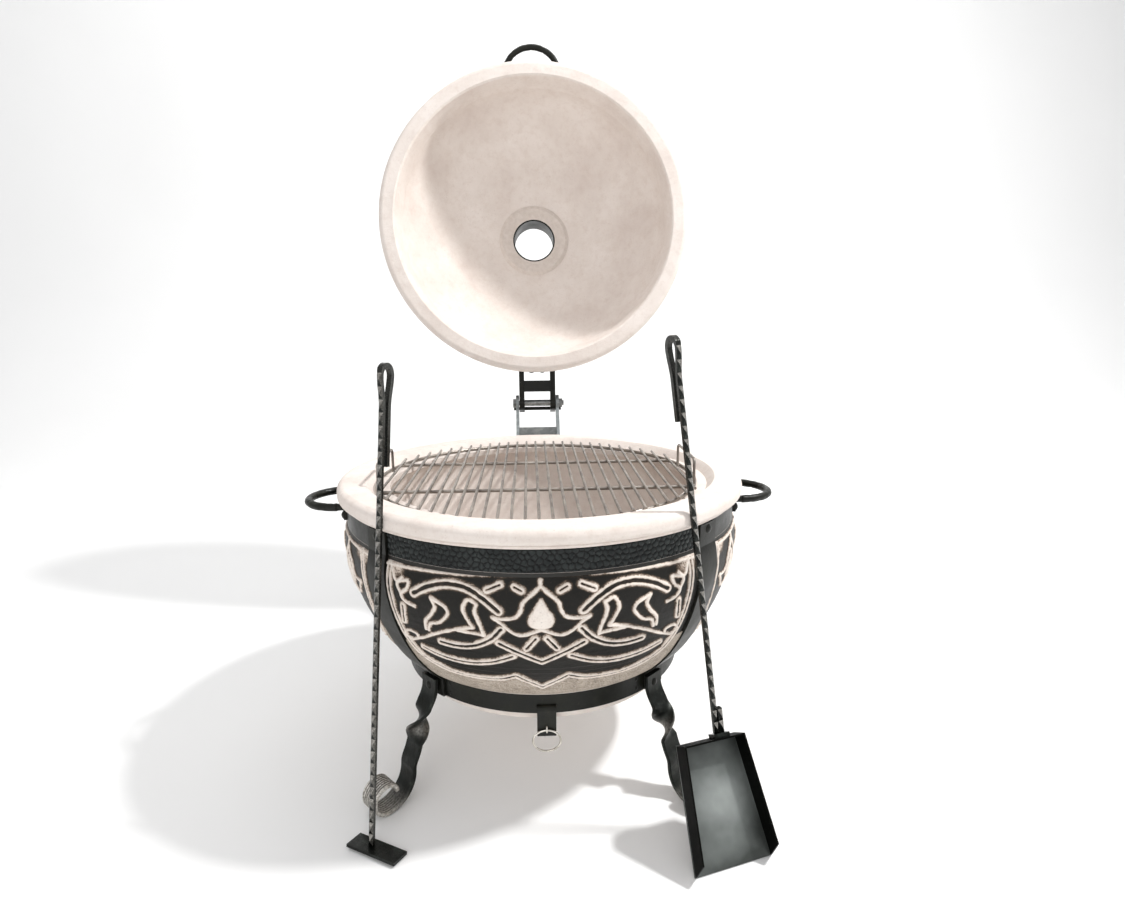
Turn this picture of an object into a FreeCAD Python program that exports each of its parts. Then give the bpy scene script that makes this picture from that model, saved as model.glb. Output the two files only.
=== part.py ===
import FreeCAD, Part

import math
import os

os.makedirs("parts", exist_ok=True)

V = FreeCAD.Vector
ORIGIN = V(0, 0, 0)
UP = V(0, 0, 1)
ACROSS = V(1, 0, 0)

# Kamado grill. Millimetres, Z up, ground at 0, bowl axis on Z, front towards -Y.
# An azimuth is measured from the front, positive towards +X.
# A depth is measured from the rim plane into the bowl or into the lid.

# Clearances
FIT = 0.3
RUNNING = 0.1

# Where the seam of a closed ring lies, clear of every rivet
SEAM_AZIMUTH = 160.0

# Rim, lip and band, the same on bowl and lid
RIM_Z = 425.0
LIP_R = 300.0
LIP_ROUND = 10.0
LIP_DEPTH = 15.0
GROOVE_R = 289.0
GROOVE_DEPTH = 20.6
LIP_UNDER_R = 294.0
BEAD_R = 291.5
BAND_DEPTH = 27.0
BAND_HEIGHT = 29.0
BAND_T = 4.0
SEAT_R = 284.0
BAND_R = SEAT_R + BAND_T
BAND_END = BAND_DEPTH + BAND_HEIGHT

# Bowl
BOWL_MOUTH_R = 258.0
MOUTH_BEVEL = 3.0
LEDGE_OUTER_R = 250.0
LEDGE_INNER_R = 226.0
LEDGE_DEPTH = 12.0 + FIT
LEDGE_T = 8.0
FOOT_R = 205.0
FOOT_BOTTOM_R = 196.0
FOOT_BOTTOM_Z = 126.0
FIRE_LEDGE_Z = 218.0
FIRE_LEDGE_R = 118.0
ASH_PIT_R = 102.0
FLOOR_Z = 190.0
VENT_R = 28.0

# Hoop and straps
HOOP_T = 6.0
HOOP_R = FOOT_R + HOOP_T
HOOP_TOP_Z = 169.0
HOOP_BOTTOM_Z = 142.0
STRAP_W = 38.0
STRAP_T = 4.0
STRAP_R = BAND_R + STRAP_T
STRAP_AZIMUTHS = (-46.0, 46.0, 180.0)
STRAP_SWEEP = 30.0
BELLY = [
    (BAND_R, RIM_Z - BAND_END),
    (292.0, 347.0),
    (288.0, 305.0),
    (272.0, 255.0),
    (244.0, 205.0),
    (217.0, 175.0),
]

# Legs
LEG_AZIMUTHS = (-47.5, 43.5, 180.0)
LEG_W = 32.0
LEG_T = 6.0
LEG_PLATE_S = HOOP_R + STRAP_T + LEG_T / 2
LEG_TOP_Z = 166.0
LEG_PLATE_END_Z = 146.0
TWIST_FROM = V(232, 0, 124)
TWIST_TO = V(251, 0, 70)
TWIST_SECTIONS = 13
SHIN_S = 260.0
SHIN_TOP_Z = 48.0
CURL_R = 42.0
CURL_INNER_R = 20.5
CURL_END_R = 14.0

# Rivets
RIVET_SHANK_R = 3.0
RIVET_HEAD_R = 6.0
RIVET_HEAD_T = 3.0
STUD_HEAD_R = 2.6
BAND_RIVET_DEPTH = 35.0
LEG_RIVET_Z = 153.0
STUD_ZS = (163.0, 149.0)
STUD_AZIMUTHS = (-38.5, 36.5, 187.5)

# Carrying handles and lid handle
HANDLE_BAR_R = 5.0
HANDLE_DEPTH = 33.0
HANDLE_AZIMUTHS = {"handle_left": -85.0, "handle_right": 85.0}
HANDLE_BEND_R = 50.0
HANDLE_CENTRE_R = 295.0
LID_HANDLE_BEND_R = 53.0
LID_HANDLE_CENTRE_R = 285.0
LUG_W = 14.0
LUG_T = 5.0
LUG_DEPTHS = (27.3, 50.5)
LUG_RIVET_DEPTH = 44.5

# Lid, built shut and then turned open about the hinge
LID_GAP = 1.0
LID_RIM_Z = RIM_Z + LID_GAP
LID_MOUTH_R = 268.7
DOME_DEPTH = 184.0
DOME_INNER_R = 262.0
DOME_INNER_START = 40.0
DOME_HEIGHT = 212.0
FLANGE_R = 75.0
FLANGE_T = 3.0
FLUE_R = 42.5
COLLAR_T = 3.0
COLLAR_R = FLUE_R + COLLAR_T
COLLAR_TOP = 237.0
MORTAR_T = 7.0

# Hinge
HINGE_Y = 359.0
HINGE_Z = 478.0
OPEN_ANGLE = 99.9
BOLT_R = 5.0
BOLT_HEX = 17.0
BOLT_HEAD_T = 6.0
NUT_T = 7.0
BOLT_TAIL = 3.0
CHEEK_INNER_X = 37.0
CHEEK_T = 6.0
CHEEK_OUTER_X = CHEEK_INNER_X + CHEEK_T
CHEEK_HEAD_R = 16.0
BRACKET_T = 4.0
BRACKET_Z = (RIM_Z - BAND_END + FIT, 402.0)
ARM_INNER_X = 26.0
ARM_T = 10.0
ARM_HEAD_R = 15.0
SPACER_R = 6.5
STOP_R = 3.5
STOP_X = 48.0
STOP_OFFSET = V(0, 10.5, 18.1)
STOP_EYE_R = 7.5
HINGE_RIVET_X = 11.0

# Flue cover
COVER_R = 50.0
COVER_T = 3.0
COVER_EAR_R = 12.0
PIVOT_OFFSET = 60.0
PIVOT_R = 4.0
POST_R = 6.5
CAP_T = 4.0
KNOB_R = 9.0
KNOB_NECK_R = 4.0
KNOB_NECK = 10.0
KNOB_REACH = 24.0

# Cooking grate
GRATE_BAR_R = 2.0
GRATE_PITCH = 16.8
GRATE_BARS_EACH_SIDE = 13
GRATE_R = 246.0
GRATE_RING_R = 238.0
GRATE_WIRE_R = 2.5
GRATE_Z = RIM_Z - 5.0
GRATE_CENTRE = V(-6, -3, 0)
CROSS_BAR_Y = 86.0
LOOP_YS = (-87.0, 23.0)
LOOP_HEIGHT = 36.0
LOOP_BEND_R = 8.0

# Fire grate
FIRE_GRATE_T = 8.0
FIRE_SLOTS = 8
FIRE_SLOT_W = 9.0

# Draft slide
BLADE_T = 3.0
BLADE_W = 80.0
BLADE_Z = 153.0
BLADE_BACK_Y = 30.0
DRAFT_TRAVEL = 60.0
TAB_W = 25.5
TAB_BEND_R = 4.0
TAB_BEND_Y = -211.0
TAB_LEAN = -12.0
TAB_LENGTH = 43.0
STAPLE_DROP = 29.7
STAPLE_R = 6.0
STAPLE_T = 2.0
RING_R = 18.5
RING_WIRE_R = 1.5

# Tools
FLOOR_CLEAR = 0.3
TOOL_BAR = 6.5
RAKE_FOOT = V(-224.6, -275.0, 0)
RAKE_ALONG = V(25.8, 44.0, 413)
RAKE_FOLD = V(0.35, 0.94, 0)
RAKE_LENGTH = 605.0
RAKE_PLATE = (74.5, 25.5, 4.0)
RAKE_PLATE_YAW = -28.0
RAKE_PLATE_OFFSET = 8.5
SHOVEL_LENGTH = 503.0
GRIP_EYE = 49.0
GRIP_BULGE = 5.5
GRIP_SPREAD = 12.5
GRIP_FREE = 122.0
SHOVEL_GRIP_FREE = 100.0
SHOVEL_YAW = 16.84
SHOVEL_LEAN = 30.65
SHOVEL_CORNER = V(171.1, -342.5, 0)
SHAFT_SEAT = (10.6, 14.0)
SHOVEL_ALONG = V(-0.1186, 0.0588, 0.9906)
SHOVEL_FOLD = V(-0.31, 0.95, 0)
PAN_HALF_FRONT = 54.0
PAN_HALF_BACK = 42.9
PAN_LENGTH = 146.0
PAN_WALL = 27.6
PAN_CUT = 16.4
PAN_T = 2.0
STUB_LENGTH = 40.0
TANG_T = 5.0
TANG_W = 22.0
TANG_DEPTH = 16.0


def save(name, *shapes):
    """Write one node, a single solid or a group of them."""
    solids = []
    for shape in shapes:
        solids.extend(shape.Solids)
    node = solids[0] if len(solids) == 1 else Part.Compound(solids)
    node.exportStep("parts/" + name + ".step")


def radial(r, z):
    """A point of the plane that holds the bowl axis, at radius r and height z."""
    return V(r, 0, z)


def lines(points):
    """Straight edges through points given as (r, z)."""
    corners = [radial(r, z) for r, z in points]
    return [Part.makeLine(a, b) for a, b in zip(corners, corners[1:])]


def arc(start, middle, end):
    return Part.Arc(radial(*start), radial(*middle), radial(*end)).toShape()


def smooth_curve(points):
    curve = Part.BSplineCurve()
    curve.interpolate([radial(r, z) for r, z in points])
    return curve


def smooth(points):
    return smooth_curve(points).toShape()


def outside(points, distance):
    """The same curve moved out by a distance, for points that run downwards."""
    curve = smooth_curve(points)
    moved = []
    for r, z in points:
        along = curve.tangent(curve.parameter(radial(r, z)))[0]
        moved.append((r - along.z * distance, z + along.x * distance))
    return moved


def quarter_ellipse(r, base_z, height, r_from, r_to, count=9):
    """Points of a dome's outline between two radii."""
    points = []
    angle_from = math.acos(r_from / r)
    angle_to = math.acos(r_to / r)
    for i in range(count):
        angle = angle_from + (angle_to - angle_from) * i / (count - 1)
        points.append((r * math.cos(angle), base_z + height * math.sin(angle)))
    return points


def turned(edges, sweep=360.0, azimuth=SEAM_AZIMUTH - 180.0):
    """Revolve a closed outline about the bowl axis, centred on an azimuth."""
    face = Part.Face(Part.Wire(edges))
    solid = face.revolve(ORIGIN, UP, sweep)
    return solid.rotated(ORIGIN, UP, azimuth - 90 - sweep / 2)


def to_azimuth(shape, azimuth):
    """Turn a shape built towards +X to its azimuth."""
    return shape.rotated(ORIGIN, UP, azimuth - 90)


def swept(path, section, binormal):
    maker = Part.BRepOffsetAPI.MakePipeShell(Part.Wire(path))
    maker.setBiNormalMode(binormal)
    maker.add(section)
    maker.build()
    maker.makeSolid()
    return maker.shape()


def rectangle(centre, u, v, size_u, size_v):
    """Closed outline of a rectangle with its sides along u and v."""
    half_u = V(u).normalize() * (size_u / 2)
    half_v = V(v).normalize() * (size_v / 2)
    corners = [
        centre + half_u + half_v,
        centre - half_u + half_v,
        centre - half_u - half_v,
        centre + half_u - half_v,
    ]
    return Part.makePolygon(corners + corners[:1])


def circle(centre, normal, r):
    return Part.Wire(Part.makeCircle(r, centre, normal))


def bend(start, start_way, end, end_way):
    """A soft bend between two points that leaves and arrives along given ways."""
    reach = (end - start).Length
    curve = Part.BSplineCurve()
    curve.interpolate(
        Points=[start, end],
        InitialTangent=V(start_way).normalize() * reach,
        FinalTangent=V(end_way).normalize() * reach,
    )
    return curve.toShape()


def box(x_range, y_range, z_range):
    (x0, x1), (y0, y1), (z0, z1) = x_range, y_range, z_range
    return Part.makeBox(x1 - x0, y1 - y0, z1 - z0, V(x0, y0, z0))


def plate(points, x0, x1):
    """A flat plate between two x, with its outline given as (y, z)."""
    corners = [V(x0, y, z) for y, z in points]
    face = Part.Face(Part.makePolygon(corners + corners[:1]))
    return face.extrude(V(x1 - x0, 0, 0))


def rod(r, x0, x1, y, z):
    """A round bar along X."""
    return Part.makeCylinder(r, x1 - x0, V(x0, y, z), ACROSS)


def hexagon(across_flats, x0, x1, y, z):
    corner_r = across_flats / math.sqrt(3)
    points = []
    for i in range(6):
        angle = math.radians(60 * i)
        points.append((y + corner_r * math.cos(angle), z + corner_r * math.sin(angle)))
    return plate(points, x0, x1)


def rivet(surface_r, shank, azimuth, z, head_r=RIVET_HEAD_R):
    """A domed rivet whose head sits on a round face of radius surface_r."""
    height = head_r * RIVET_HEAD_T / RIVET_HEAD_R
    ball_r = (head_r**2 + height**2) / (2 * height)
    base_angle = math.degrees(math.asin(1 - height / ball_r))
    centre = V(surface_r + height - ball_r, 0, z)
    head = Part.makeSphere(ball_r, centre, ACROSS, base_angle, 90)
    shank_r = RIVET_SHANK_R * head_r / RIVET_HEAD_R
    pin = Part.makeCylinder(shank_r, shank, V(surface_r - shank, 0, z), ACROSS)
    return to_azimuth(head.fuse(pin), azimuth)


def drilled(shape, rivets):
    return shape.cut(Part.Compound(rivets))


def lip_edges(rim_z, side, flat_from):
    """Outline of a lip from its flat top out and along to the far edge of the band's seat."""

    def at(r, depth):
        return (r, rim_z + side * depth)

    round_centre_r = LIP_R - LIP_ROUND
    corner = LIP_ROUND * math.sqrt(0.5)
    bead_middle = (GROOVE_DEPTH + BAND_DEPTH) / 2
    edges = lines([at(flat_from, 0), at(round_centre_r, 0)])
    edges.append(
        arc(at(round_centre_r, 0), at(round_centre_r + corner, LIP_ROUND - corner), at(LIP_R, LIP_ROUND))
    )
    edges += lines([at(LIP_R, LIP_ROUND), at(LIP_R, LIP_DEPTH)])
    edges.append(
        arc(at(LIP_R, LIP_DEPTH), at(LIP_R - 1.6, GROOVE_DEPTH - 1.6), at(LIP_UNDER_R, GROOVE_DEPTH))
    )
    edges += lines([at(LIP_UNDER_R, GROOVE_DEPTH), at(GROOVE_R, GROOVE_DEPTH)])
    edges.append(arc(at(GROOVE_R, GROOVE_DEPTH), at(BEAD_R, bead_middle), at(GROOVE_R, BAND_DEPTH)))
    edges += lines(
        [at(GROOVE_R, BAND_DEPTH), at(SEAT_R, BAND_DEPTH), at(SEAT_R, BAND_END), at(BAND_R, BAND_END)]
    )
    return edges


def bowl_shell():
    ledge_z = RIM_Z - LEDGE_DEPTH
    under_ledge_z = ledge_z - LEDGE_T
    edges = lip_edges(RIM_Z, -1, BOWL_MOUTH_R + MOUTH_BEVEL)
    edges.append(smooth(BELLY))
    edges += lines(
        [
            BELLY[-1],
            (HOOP_R, HOOP_TOP_Z),
            (FOOT_R, HOOP_TOP_Z),
            (FOOT_R, HOOP_BOTTOM_Z),
            (FOOT_BOTTOM_R, FOOT_BOTTOM_Z),
            (VENT_R, FOOT_BOTTOM_Z),
            (VENT_R, FLOOR_Z),
            (ASH_PIT_R, FLOOR_Z),
            (ASH_PIT_R, FIRE_LEDGE_Z),
            (FIRE_LEDGE_R + FIT, FIRE_LEDGE_Z),
            (FIRE_LEDGE_R + FIT, FIRE_LEDGE_Z + FIRE_GRATE_T),
        ]
    )
    inside = [
        (FIRE_LEDGE_R + FIT, FIRE_LEDGE_Z + FIRE_GRATE_T),
        (172.0, 243.0),
        (213.0, 285.0),
        (233.0, 340.0),
        (237.0, 385.0),
        (LEDGE_INNER_R, under_ledge_z),
    ]
    edges.append(smooth(inside))
    edges += lines(
        [
            (LEDGE_INNER_R, under_ledge_z),
            (LEDGE_INNER_R, ledge_z),
            (LEDGE_OUTER_R, ledge_z),
            (BOWL_MOUTH_R, RIM_Z - MOUTH_BEVEL),
            (BOWL_MOUTH_R + MOUTH_BEVEL, RIM_Z),
        ]
    )
    half_slot = BLADE_W / 2 + FIT
    slot_t = BLADE_T + 2 * FIT
    slot = box(
        (-half_slot, half_slot),
        (-FOOT_R - HOOP_T, BLADE_BACK_Y + FIT),
        (BLADE_Z - slot_t / 2, BLADE_Z + slot_t / 2),
    )
    return turned(edges).cut(slot)


def band(rim_z, side, azimuth_from, azimuth_to, rivets):
    """One piece of a steel band in its seat."""
    near = rim_z + side * BAND_DEPTH
    far = rim_z + side * BAND_END
    outline = lines([(SEAT_R, near), (BAND_R, near), (BAND_R, far), (SEAT_R, far), (SEAT_R, near)])
    sweep = azimuth_to - azimuth_from
    return drilled(turned(outline, sweep, (azimuth_from + azimuth_to) / 2), rivets)


def lower_hoop(rivets):
    outline = lines(
        [
            (FOOT_R, HOOP_BOTTOM_Z),
            (HOOP_R, HOOP_BOTTOM_Z),
            (HOOP_R, HOOP_TOP_Z),
            (FOOT_R, HOOP_TOP_Z),
            (FOOT_R, HOOP_BOTTOM_Z),
        ]
    )
    half_slot = TAB_W / 2 + FIT
    slot_t = BLADE_T + 2 * FIT
    slot = box(
        (-half_slot, half_slot),
        (-HOOP_R - HOOP_T, -FOOT_R + HOOP_T),
        (BLADE_Z - slot_t / 2, BLADE_Z + slot_t / 2),
    )
    return drilled(turned(outline).cut(slot), rivets)


def strap(edges, azimuth, rivets):
    """A flat strap cut to an even width from a ring with the strap's outline."""
    wedge = turned(edges, STRAP_SWEEP, 90.0)
    reach = LIP_R + STRAP_W
    slab = box((0, reach), (-STRAP_W / 2, STRAP_W / 2), (0, RIM_Z + DOME_HEIGHT + STRAP_W))
    return drilled(to_azimuth(wedge.common(slab), azimuth), rivets)


def bowl_strap(azimuth, rivets):
    outer_belly = outside(BELLY, STRAP_T)
    outer_belly[0] = (STRAP_R, BELLY[0][1])
    foot_r = HOOP_R + STRAP_T
    bend_r, bend_z = outer_belly[-1]
    knee_z = bend_z - (bend_r - foot_r)
    top_z = RIM_Z - BAND_DEPTH
    edges = lines([(BAND_R, top_z), BELLY[0]])
    edges.append(smooth(BELLY))
    edges += lines(
        [
            BELLY[-1],
            (HOOP_R, HOOP_TOP_Z),
            (HOOP_R, HOOP_BOTTOM_Z),
            (foot_r, HOOP_BOTTOM_Z),
            (foot_r, knee_z),
            (bend_r, bend_z),
        ]
    )
    edges.append(smooth(outer_belly[::-1]))
    edges += lines([(STRAP_R, BELLY[0][1]), (STRAP_R, top_z), (BAND_R, top_z)])
    return strap(edges, azimuth, rivets)


def dome_outline(extra=0.0):
    """Outside of the lid from the band's far edge to the flat round the flue."""
    base_z = LID_RIM_Z + BAND_END
    return quarter_ellipse(BAND_R + extra, base_z, DOME_HEIGHT - BAND_END + extra, BAND_R + extra, FLANGE_R)


def lid_strap(azimuth, rivets):
    near_z = LID_RIM_Z + BAND_DEPTH
    far_z = LID_RIM_Z + BAND_END
    inner = dome_outline()
    outer = dome_outline(STRAP_T)
    edges = lines([(BAND_R, near_z), (BAND_R, far_z)])
    edges.append(smooth(inner))
    edges += lines([inner[-1], outer[-1]])
    edges.append(smooth(outer[::-1]))
    edges += lines([(STRAP_R, far_z), (STRAP_R, near_z), (BAND_R, near_z)])
    return strap(edges, azimuth, rivets)


def leg(azimuth, rivets):
    """A flat bar with a half twist and a scroll for a foot."""
    side = V(0, 1, 0)
    twist_way = (TWIST_TO - TWIST_FROM).normalize()
    down = V(0, 0, -1)
    plate_top = radial(LEG_PLATE_S, LEG_TOP_Z)
    plate_end = radial(LEG_PLATE_S, LEG_PLATE_END_Z)
    upper_path = [
        Part.makeLine(plate_top, plate_end),
        bend(plate_end, down, TWIST_FROM, twist_way),
    ]
    upper = swept(upper_path, rectangle(plate_top, ACROSS, side, LEG_T, LEG_W), side)

    thick_way = twist_way.cross(side)
    sections = []
    for i in range(TWIST_SECTIONS):
        part = i / (TWIST_SECTIONS - 1)
        turn = FreeCAD.Rotation(twist_way, 180.0 * part)
        centre = TWIST_FROM + (TWIST_TO - TWIST_FROM) * part
        sections.append(
            rectangle(centre, turn.multVec(thick_way), turn.multVec(side), LEG_T, LEG_W)
        )
    twist = Part.makeLoft(sections, True, False)

    shin_top = radial(SHIN_S, SHIN_TOP_Z)
    curl_z = CURL_R + LEG_T / 2
    curl_s = SHIN_S + CURL_R
    low_z = LEG_T / 2
    inner_z = low_z + CURL_INNER_R
    tip_z = inner_z + CURL_INNER_R
    end_z = tip_z - CURL_END_R
    corner = math.sqrt(0.5)
    lower_path = [
        bend(TWIST_TO, twist_way, shin_top, down),
        Part.makeLine(shin_top, radial(SHIN_S, curl_z)),
        arc(
            (SHIN_S, curl_z),
            (curl_s - CURL_R * corner, curl_z - CURL_R * corner),
            (curl_s, low_z),
        ),
        arc((curl_s, low_z), (curl_s + CURL_INNER_R, inner_z), (curl_s, tip_z)),
        arc(
            (curl_s, tip_z),
            (curl_s - CURL_END_R * corner, end_z + CURL_END_R * corner),
            (curl_s - CURL_END_R, end_z),
        ),
    ]
    lower = swept(lower_path, rectangle(TWIST_TO, thick_way, side, LEG_T, LEG_W), side)
    whole = upper.fuse([twist, lower])
    return drilled(to_azimuth(whole, azimuth), rivets)


def ring_handle(rim_z, side, azimuth, bend_r, centre_r, rivets):
    """A half-ring handle with two lugs that lie on the band."""
    bar_z = rim_z + side * HANDLE_DEPTH
    root = min(centre_r, BAND_R - 2.0)
    ends = [V(root, bend_r, bar_z), V(centre_r, bend_r, bar_z)]
    middle = V(centre_r + bend_r, 0, bar_z)
    back = [V(centre_r, -bend_r, bar_z), V(root, -bend_r, bar_z)]
    path = [Part.Arc(ends[1], middle, back[0]).toShape()]
    if centre_r > root:
        path = [Part.makeLine(*ends)] + path + [Part.makeLine(*back)]
    bar = swept(path, circle(ends[0], ACROSS, HANDLE_BAR_R), UP)
    near, far = sorted(rim_z + side * depth for depth in LUG_DEPTHS)
    outline = lines(
        [(BAND_R, near), (BAND_R + LUG_T, near), (BAND_R + LUG_T, far), (BAND_R, far), (BAND_R, near)]
    )
    lug_azimuth = math.degrees(math.asin(bend_r / BAND_R))
    lugs = []
    for way in (-1, 1):
        wide = turned(outline, 12.0, 90.0)
        slab = box((0, LIP_R), (-LUG_W / 2, LUG_W / 2), (near - FIT, far + FIT))
        lugs.append(wide.common(slab).rotated(ORIGIN, UP, way * lug_azimuth))
    return drilled(to_azimuth(bar.fuse(lugs), azimuth), rivets)


def handle_rivets(rim_z, side, azimuth, bend_r):
    lug_azimuth = math.degrees(math.asin(bend_r / BAND_R))
    z = rim_z + side * LUG_RIVET_DEPTH
    shank = LUG_T + BAND_T
    return [rivet(BAND_R + LUG_T, shank, azimuth + way * lug_azimuth, z) for way in (-1, 1)]


def fire_grate():
    """A round plate with slots that lets ash fall to the floor."""
    disc = Part.makeCylinder(FIRE_LEDGE_R, FIRE_GRATE_T, V(0, 0, FIRE_LEDGE_Z))
    inner = ASH_PIT_R * 0.25
    outer = ASH_PIT_R * 0.85
    slots = []
    for i in range(FIRE_SLOTS):
        slot = box(
            (inner, outer),
            (-FIRE_SLOT_W / 2, FIRE_SLOT_W / 2),
            (FIRE_LEDGE_Z - FIT, FIRE_LEDGE_Z + FIRE_GRATE_T + FIT),
        )
        slots.append(slot.rotated(ORIGIN, UP, 360.0 * i / FIRE_SLOTS))
    return disc.cut(Part.Compound(slots))


def curved_pad(rim_r, half_width, z_range, thickness):
    """A plate at the back that lies on a round face, cut to an even width."""
    low, high = z_range
    outline = lines(
        [(rim_r, low), (rim_r + thickness, low), (rim_r + thickness, high), (rim_r, high), (rim_r, low)]
    )
    wide = turned(outline, 24.0, 180.0)
    return wide.common(box((-half_width, half_width), (0, LIP_R * 2), (low, high)))


def cheek_rear_y():
    """The rear edge on which the stop bar comes to rest when the lid is open."""
    return HINGE_Y + opened_offset(STOP_OFFSET).y - STOP_R - FIT


def hinge_bracket(rivets):
    pad = curved_pad(STRAP_R, CHEEK_OUTER_X, BRACKET_Z, BRACKET_T)
    low, high = BRACKET_Z
    pad_y = 291.0
    rear_y = cheek_rear_y()
    head_angle = math.acos((rear_y - HINGE_Y) / CHEEK_HEAD_R)
    outline = [
        (pad_y, low),
        (pad_y, high - 2.0),
        (305.0, high + 1.0),
        (305.0, 418.0),
        (HINGE_Y - CHEEK_HEAD_R, HINGE_Z - 8.0),
        (HINGE_Y - CHEEK_HEAD_R, HINGE_Z),
        (HINGE_Y, HINGE_Z),
        (rear_y, HINGE_Z - CHEEK_HEAD_R * math.sin(head_angle)),
        (rear_y, 440.0),
        (322.0, 374.0),
        (308.0, low),
    ]
    cheeks = []
    for x0 in (CHEEK_INNER_X, -CHEEK_OUTER_X):
        x1 = x0 + CHEEK_T
        cheek = plate(outline, x0, x1)
        cheeks.append(cheek.fuse(rod(CHEEK_HEAD_R, x0, x1, HINGE_Y, HINGE_Z)))
    tie = box((-CHEEK_INNER_X, CHEEK_INNER_X), (317.0, 321.0), (418.0, 435.0))
    bolt_hole = rod(BOLT_R, -CHEEK_OUTER_X, CHEEK_OUTER_X, HINGE_Y, HINGE_Z)
    return drilled(pad.fuse(cheeks + [tie]).cut(bolt_hole), rivets)


def hinge_bolt():
    shank = rod(BOLT_R, -CHEEK_OUTER_X, CHEEK_OUTER_X + NUT_T + BOLT_TAIL, HINGE_Y, HINGE_Z)
    head = hexagon(BOLT_HEX, -CHEEK_OUTER_X - BOLT_HEAD_T, -CHEEK_OUTER_X, HINGE_Y, HINGE_Z)
    return shank.fuse(head)


def hinge_nut():
    nut = hexagon(BOLT_HEX, CHEEK_OUTER_X, CHEEK_OUTER_X + NUT_T, HINGE_Y, HINGE_Z)
    return nut.cut(rod(BOLT_R, 0, CHEEK_OUTER_X * 2, HINGE_Y, HINGE_Z))


def opened_offset(offset):
    return FreeCAD.Rotation(ACROSS, -OPEN_ANGLE).multVec(offset)


def opened(shape):
    """Turn a part of the shut lid to the open pose."""
    return shape.rotated(V(0, HINGE_Y, HINGE_Z), ACROSS, -OPEN_ANGLE)


def lid_dome():
    inner_r = DOME_INNER_R
    inner_z = LID_RIM_Z + DOME_INNER_START
    inner_height = DOME_DEPTH - DOME_INNER_START
    inside = quarter_ellipse(inner_r, inner_z, inner_height, inner_r, COLLAR_R)[::-1]
    outline = dome_outline()
    edges = lip_edges(LID_RIM_Z, 1, LID_MOUTH_R + MOUTH_BEVEL)
    edges.append(smooth(outline))
    edges += lines([outline[-1], (COLLAR_R, outline[-1][1]), inside[0]])
    edges.append(smooth(inside))
    edges += lines(
        [
            inside[-1],
            (LID_MOUTH_R, LID_RIM_Z + MOUTH_BEVEL),
            (LID_MOUTH_R + MOUTH_BEVEL, LID_RIM_Z),
        ]
    )
    return turned(edges)


def flue_collar():
    flange_z = dome_outline()[-1][1]
    foot_z = LID_RIM_Z + DOME_DEPTH - MORTAR_T
    top_z = LID_RIM_Z + COLLAR_TOP
    outline = [
        (FLUE_R, foot_z),
        (COLLAR_R, foot_z),
        (COLLAR_R, flange_z),
        (FLANGE_R, flange_z),
        (FLANGE_R, flange_z + FLANGE_T),
        (COLLAR_R, flange_z + FLANGE_T),
        (COLLAR_R, top_z),
        (FLUE_R, top_z),
        (FLUE_R, foot_z),
    ]
    return turned(lines(outline))


def flue_mortar(dome):
    """Cement that seals the collar to the inside of the dome."""
    foot_z = LID_RIM_Z + DOME_DEPTH - MORTAR_T
    outline = [
        (COLLAR_R, foot_z + 2 * MORTAR_T),
        (COLLAR_R, foot_z),
        (FLANGE_R - MORTAR_T, foot_z - 3.0),
        (FLANGE_R, foot_z),
        (FLANGE_R, foot_z + 2 * MORTAR_T),
        (COLLAR_R, foot_z + 2 * MORTAR_T),
    ]
    return turned(lines(outline)).cut(dome)


def lid_arms(rivets):
    near_z = LID_RIM_Z + BAND_DEPTH
    far_z = LID_RIM_Z + BAND_END
    pad = curved_pad(STRAP_R, ARM_INNER_X + ARM_T, (near_z, far_z), BRACKET_T)
    pad_y = 291.0
    stop_y = HINGE_Y + STOP_OFFSET.y
    stop_z = HINGE_Z + STOP_OFFSET.z
    outline = [
        (pad_y, near_z + 1.0),
        (pad_y, far_z - 1.0),
        (HINGE_Y - 3.0, HINGE_Z + ARM_HEAD_R - 0.4),
        (stop_y - 3.0, stop_z + STOP_EYE_R - 0.7),
        (stop_y, stop_z),
        (stop_y + STOP_EYE_R - 0.7, stop_z - 3.0),
        (HINGE_Y + ARM_HEAD_R - 0.4, HINGE_Z - 3.0),
        (HINGE_Y, HINGE_Z),
        (HINGE_Y - 2.0, HINGE_Z - ARM_HEAD_R + 0.2),
    ]
    arms = []
    for x0 in (ARM_INNER_X, -ARM_INNER_X - ARM_T):
        x1 = x0 + ARM_T
        head = rod(ARM_HEAD_R, x0, x1, HINGE_Y, HINGE_Z)
        eye = rod(STOP_EYE_R, x0, x1, stop_y, stop_z)
        arms.append(plate(outline, x0, x1).fuse([head, eye]))
    tie = box((-ARM_INNER_X, ARM_INNER_X), (315.0, 337.0), (459.5, 463.5))
    far_x = ARM_INNER_X + ARM_T
    bolt_hole = rod(BOLT_R + RUNNING, -far_x, far_x, HINGE_Y, HINGE_Z)
    stop_hole = rod(STOP_R, -far_x, far_x, stop_y, stop_z)
    return drilled(pad.fuse(arms + [tie]).cut([bolt_hole, stop_hole]), rivets)


def hinge_spacer():
    tube = rod(SPACER_R, -ARM_INNER_X, ARM_INNER_X, HINGE_Y, HINGE_Z)
    return tube.cut(rod(BOLT_R + RUNNING, -ARM_INNER_X, ARM_INNER_X, HINGE_Y, HINGE_Z))


def stop_bar():
    return rod(STOP_R, -STOP_X, STOP_X, HINGE_Y + STOP_OFFSET.y, HINGE_Z + STOP_OFFSET.z)


def hinge_rivets(surface_r, z_range):
    azimuth = math.degrees(math.asin(HINGE_RIVET_X / surface_r))
    shank = BRACKET_T + STRAP_T + BAND_T
    low, high = z_range
    rivets = []
    for way in (-1, 1):
        for z in (low, high):
            rivets.append(rivet(surface_r, shank, 180.0 + way * azimuth, z))
    return rivets


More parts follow.
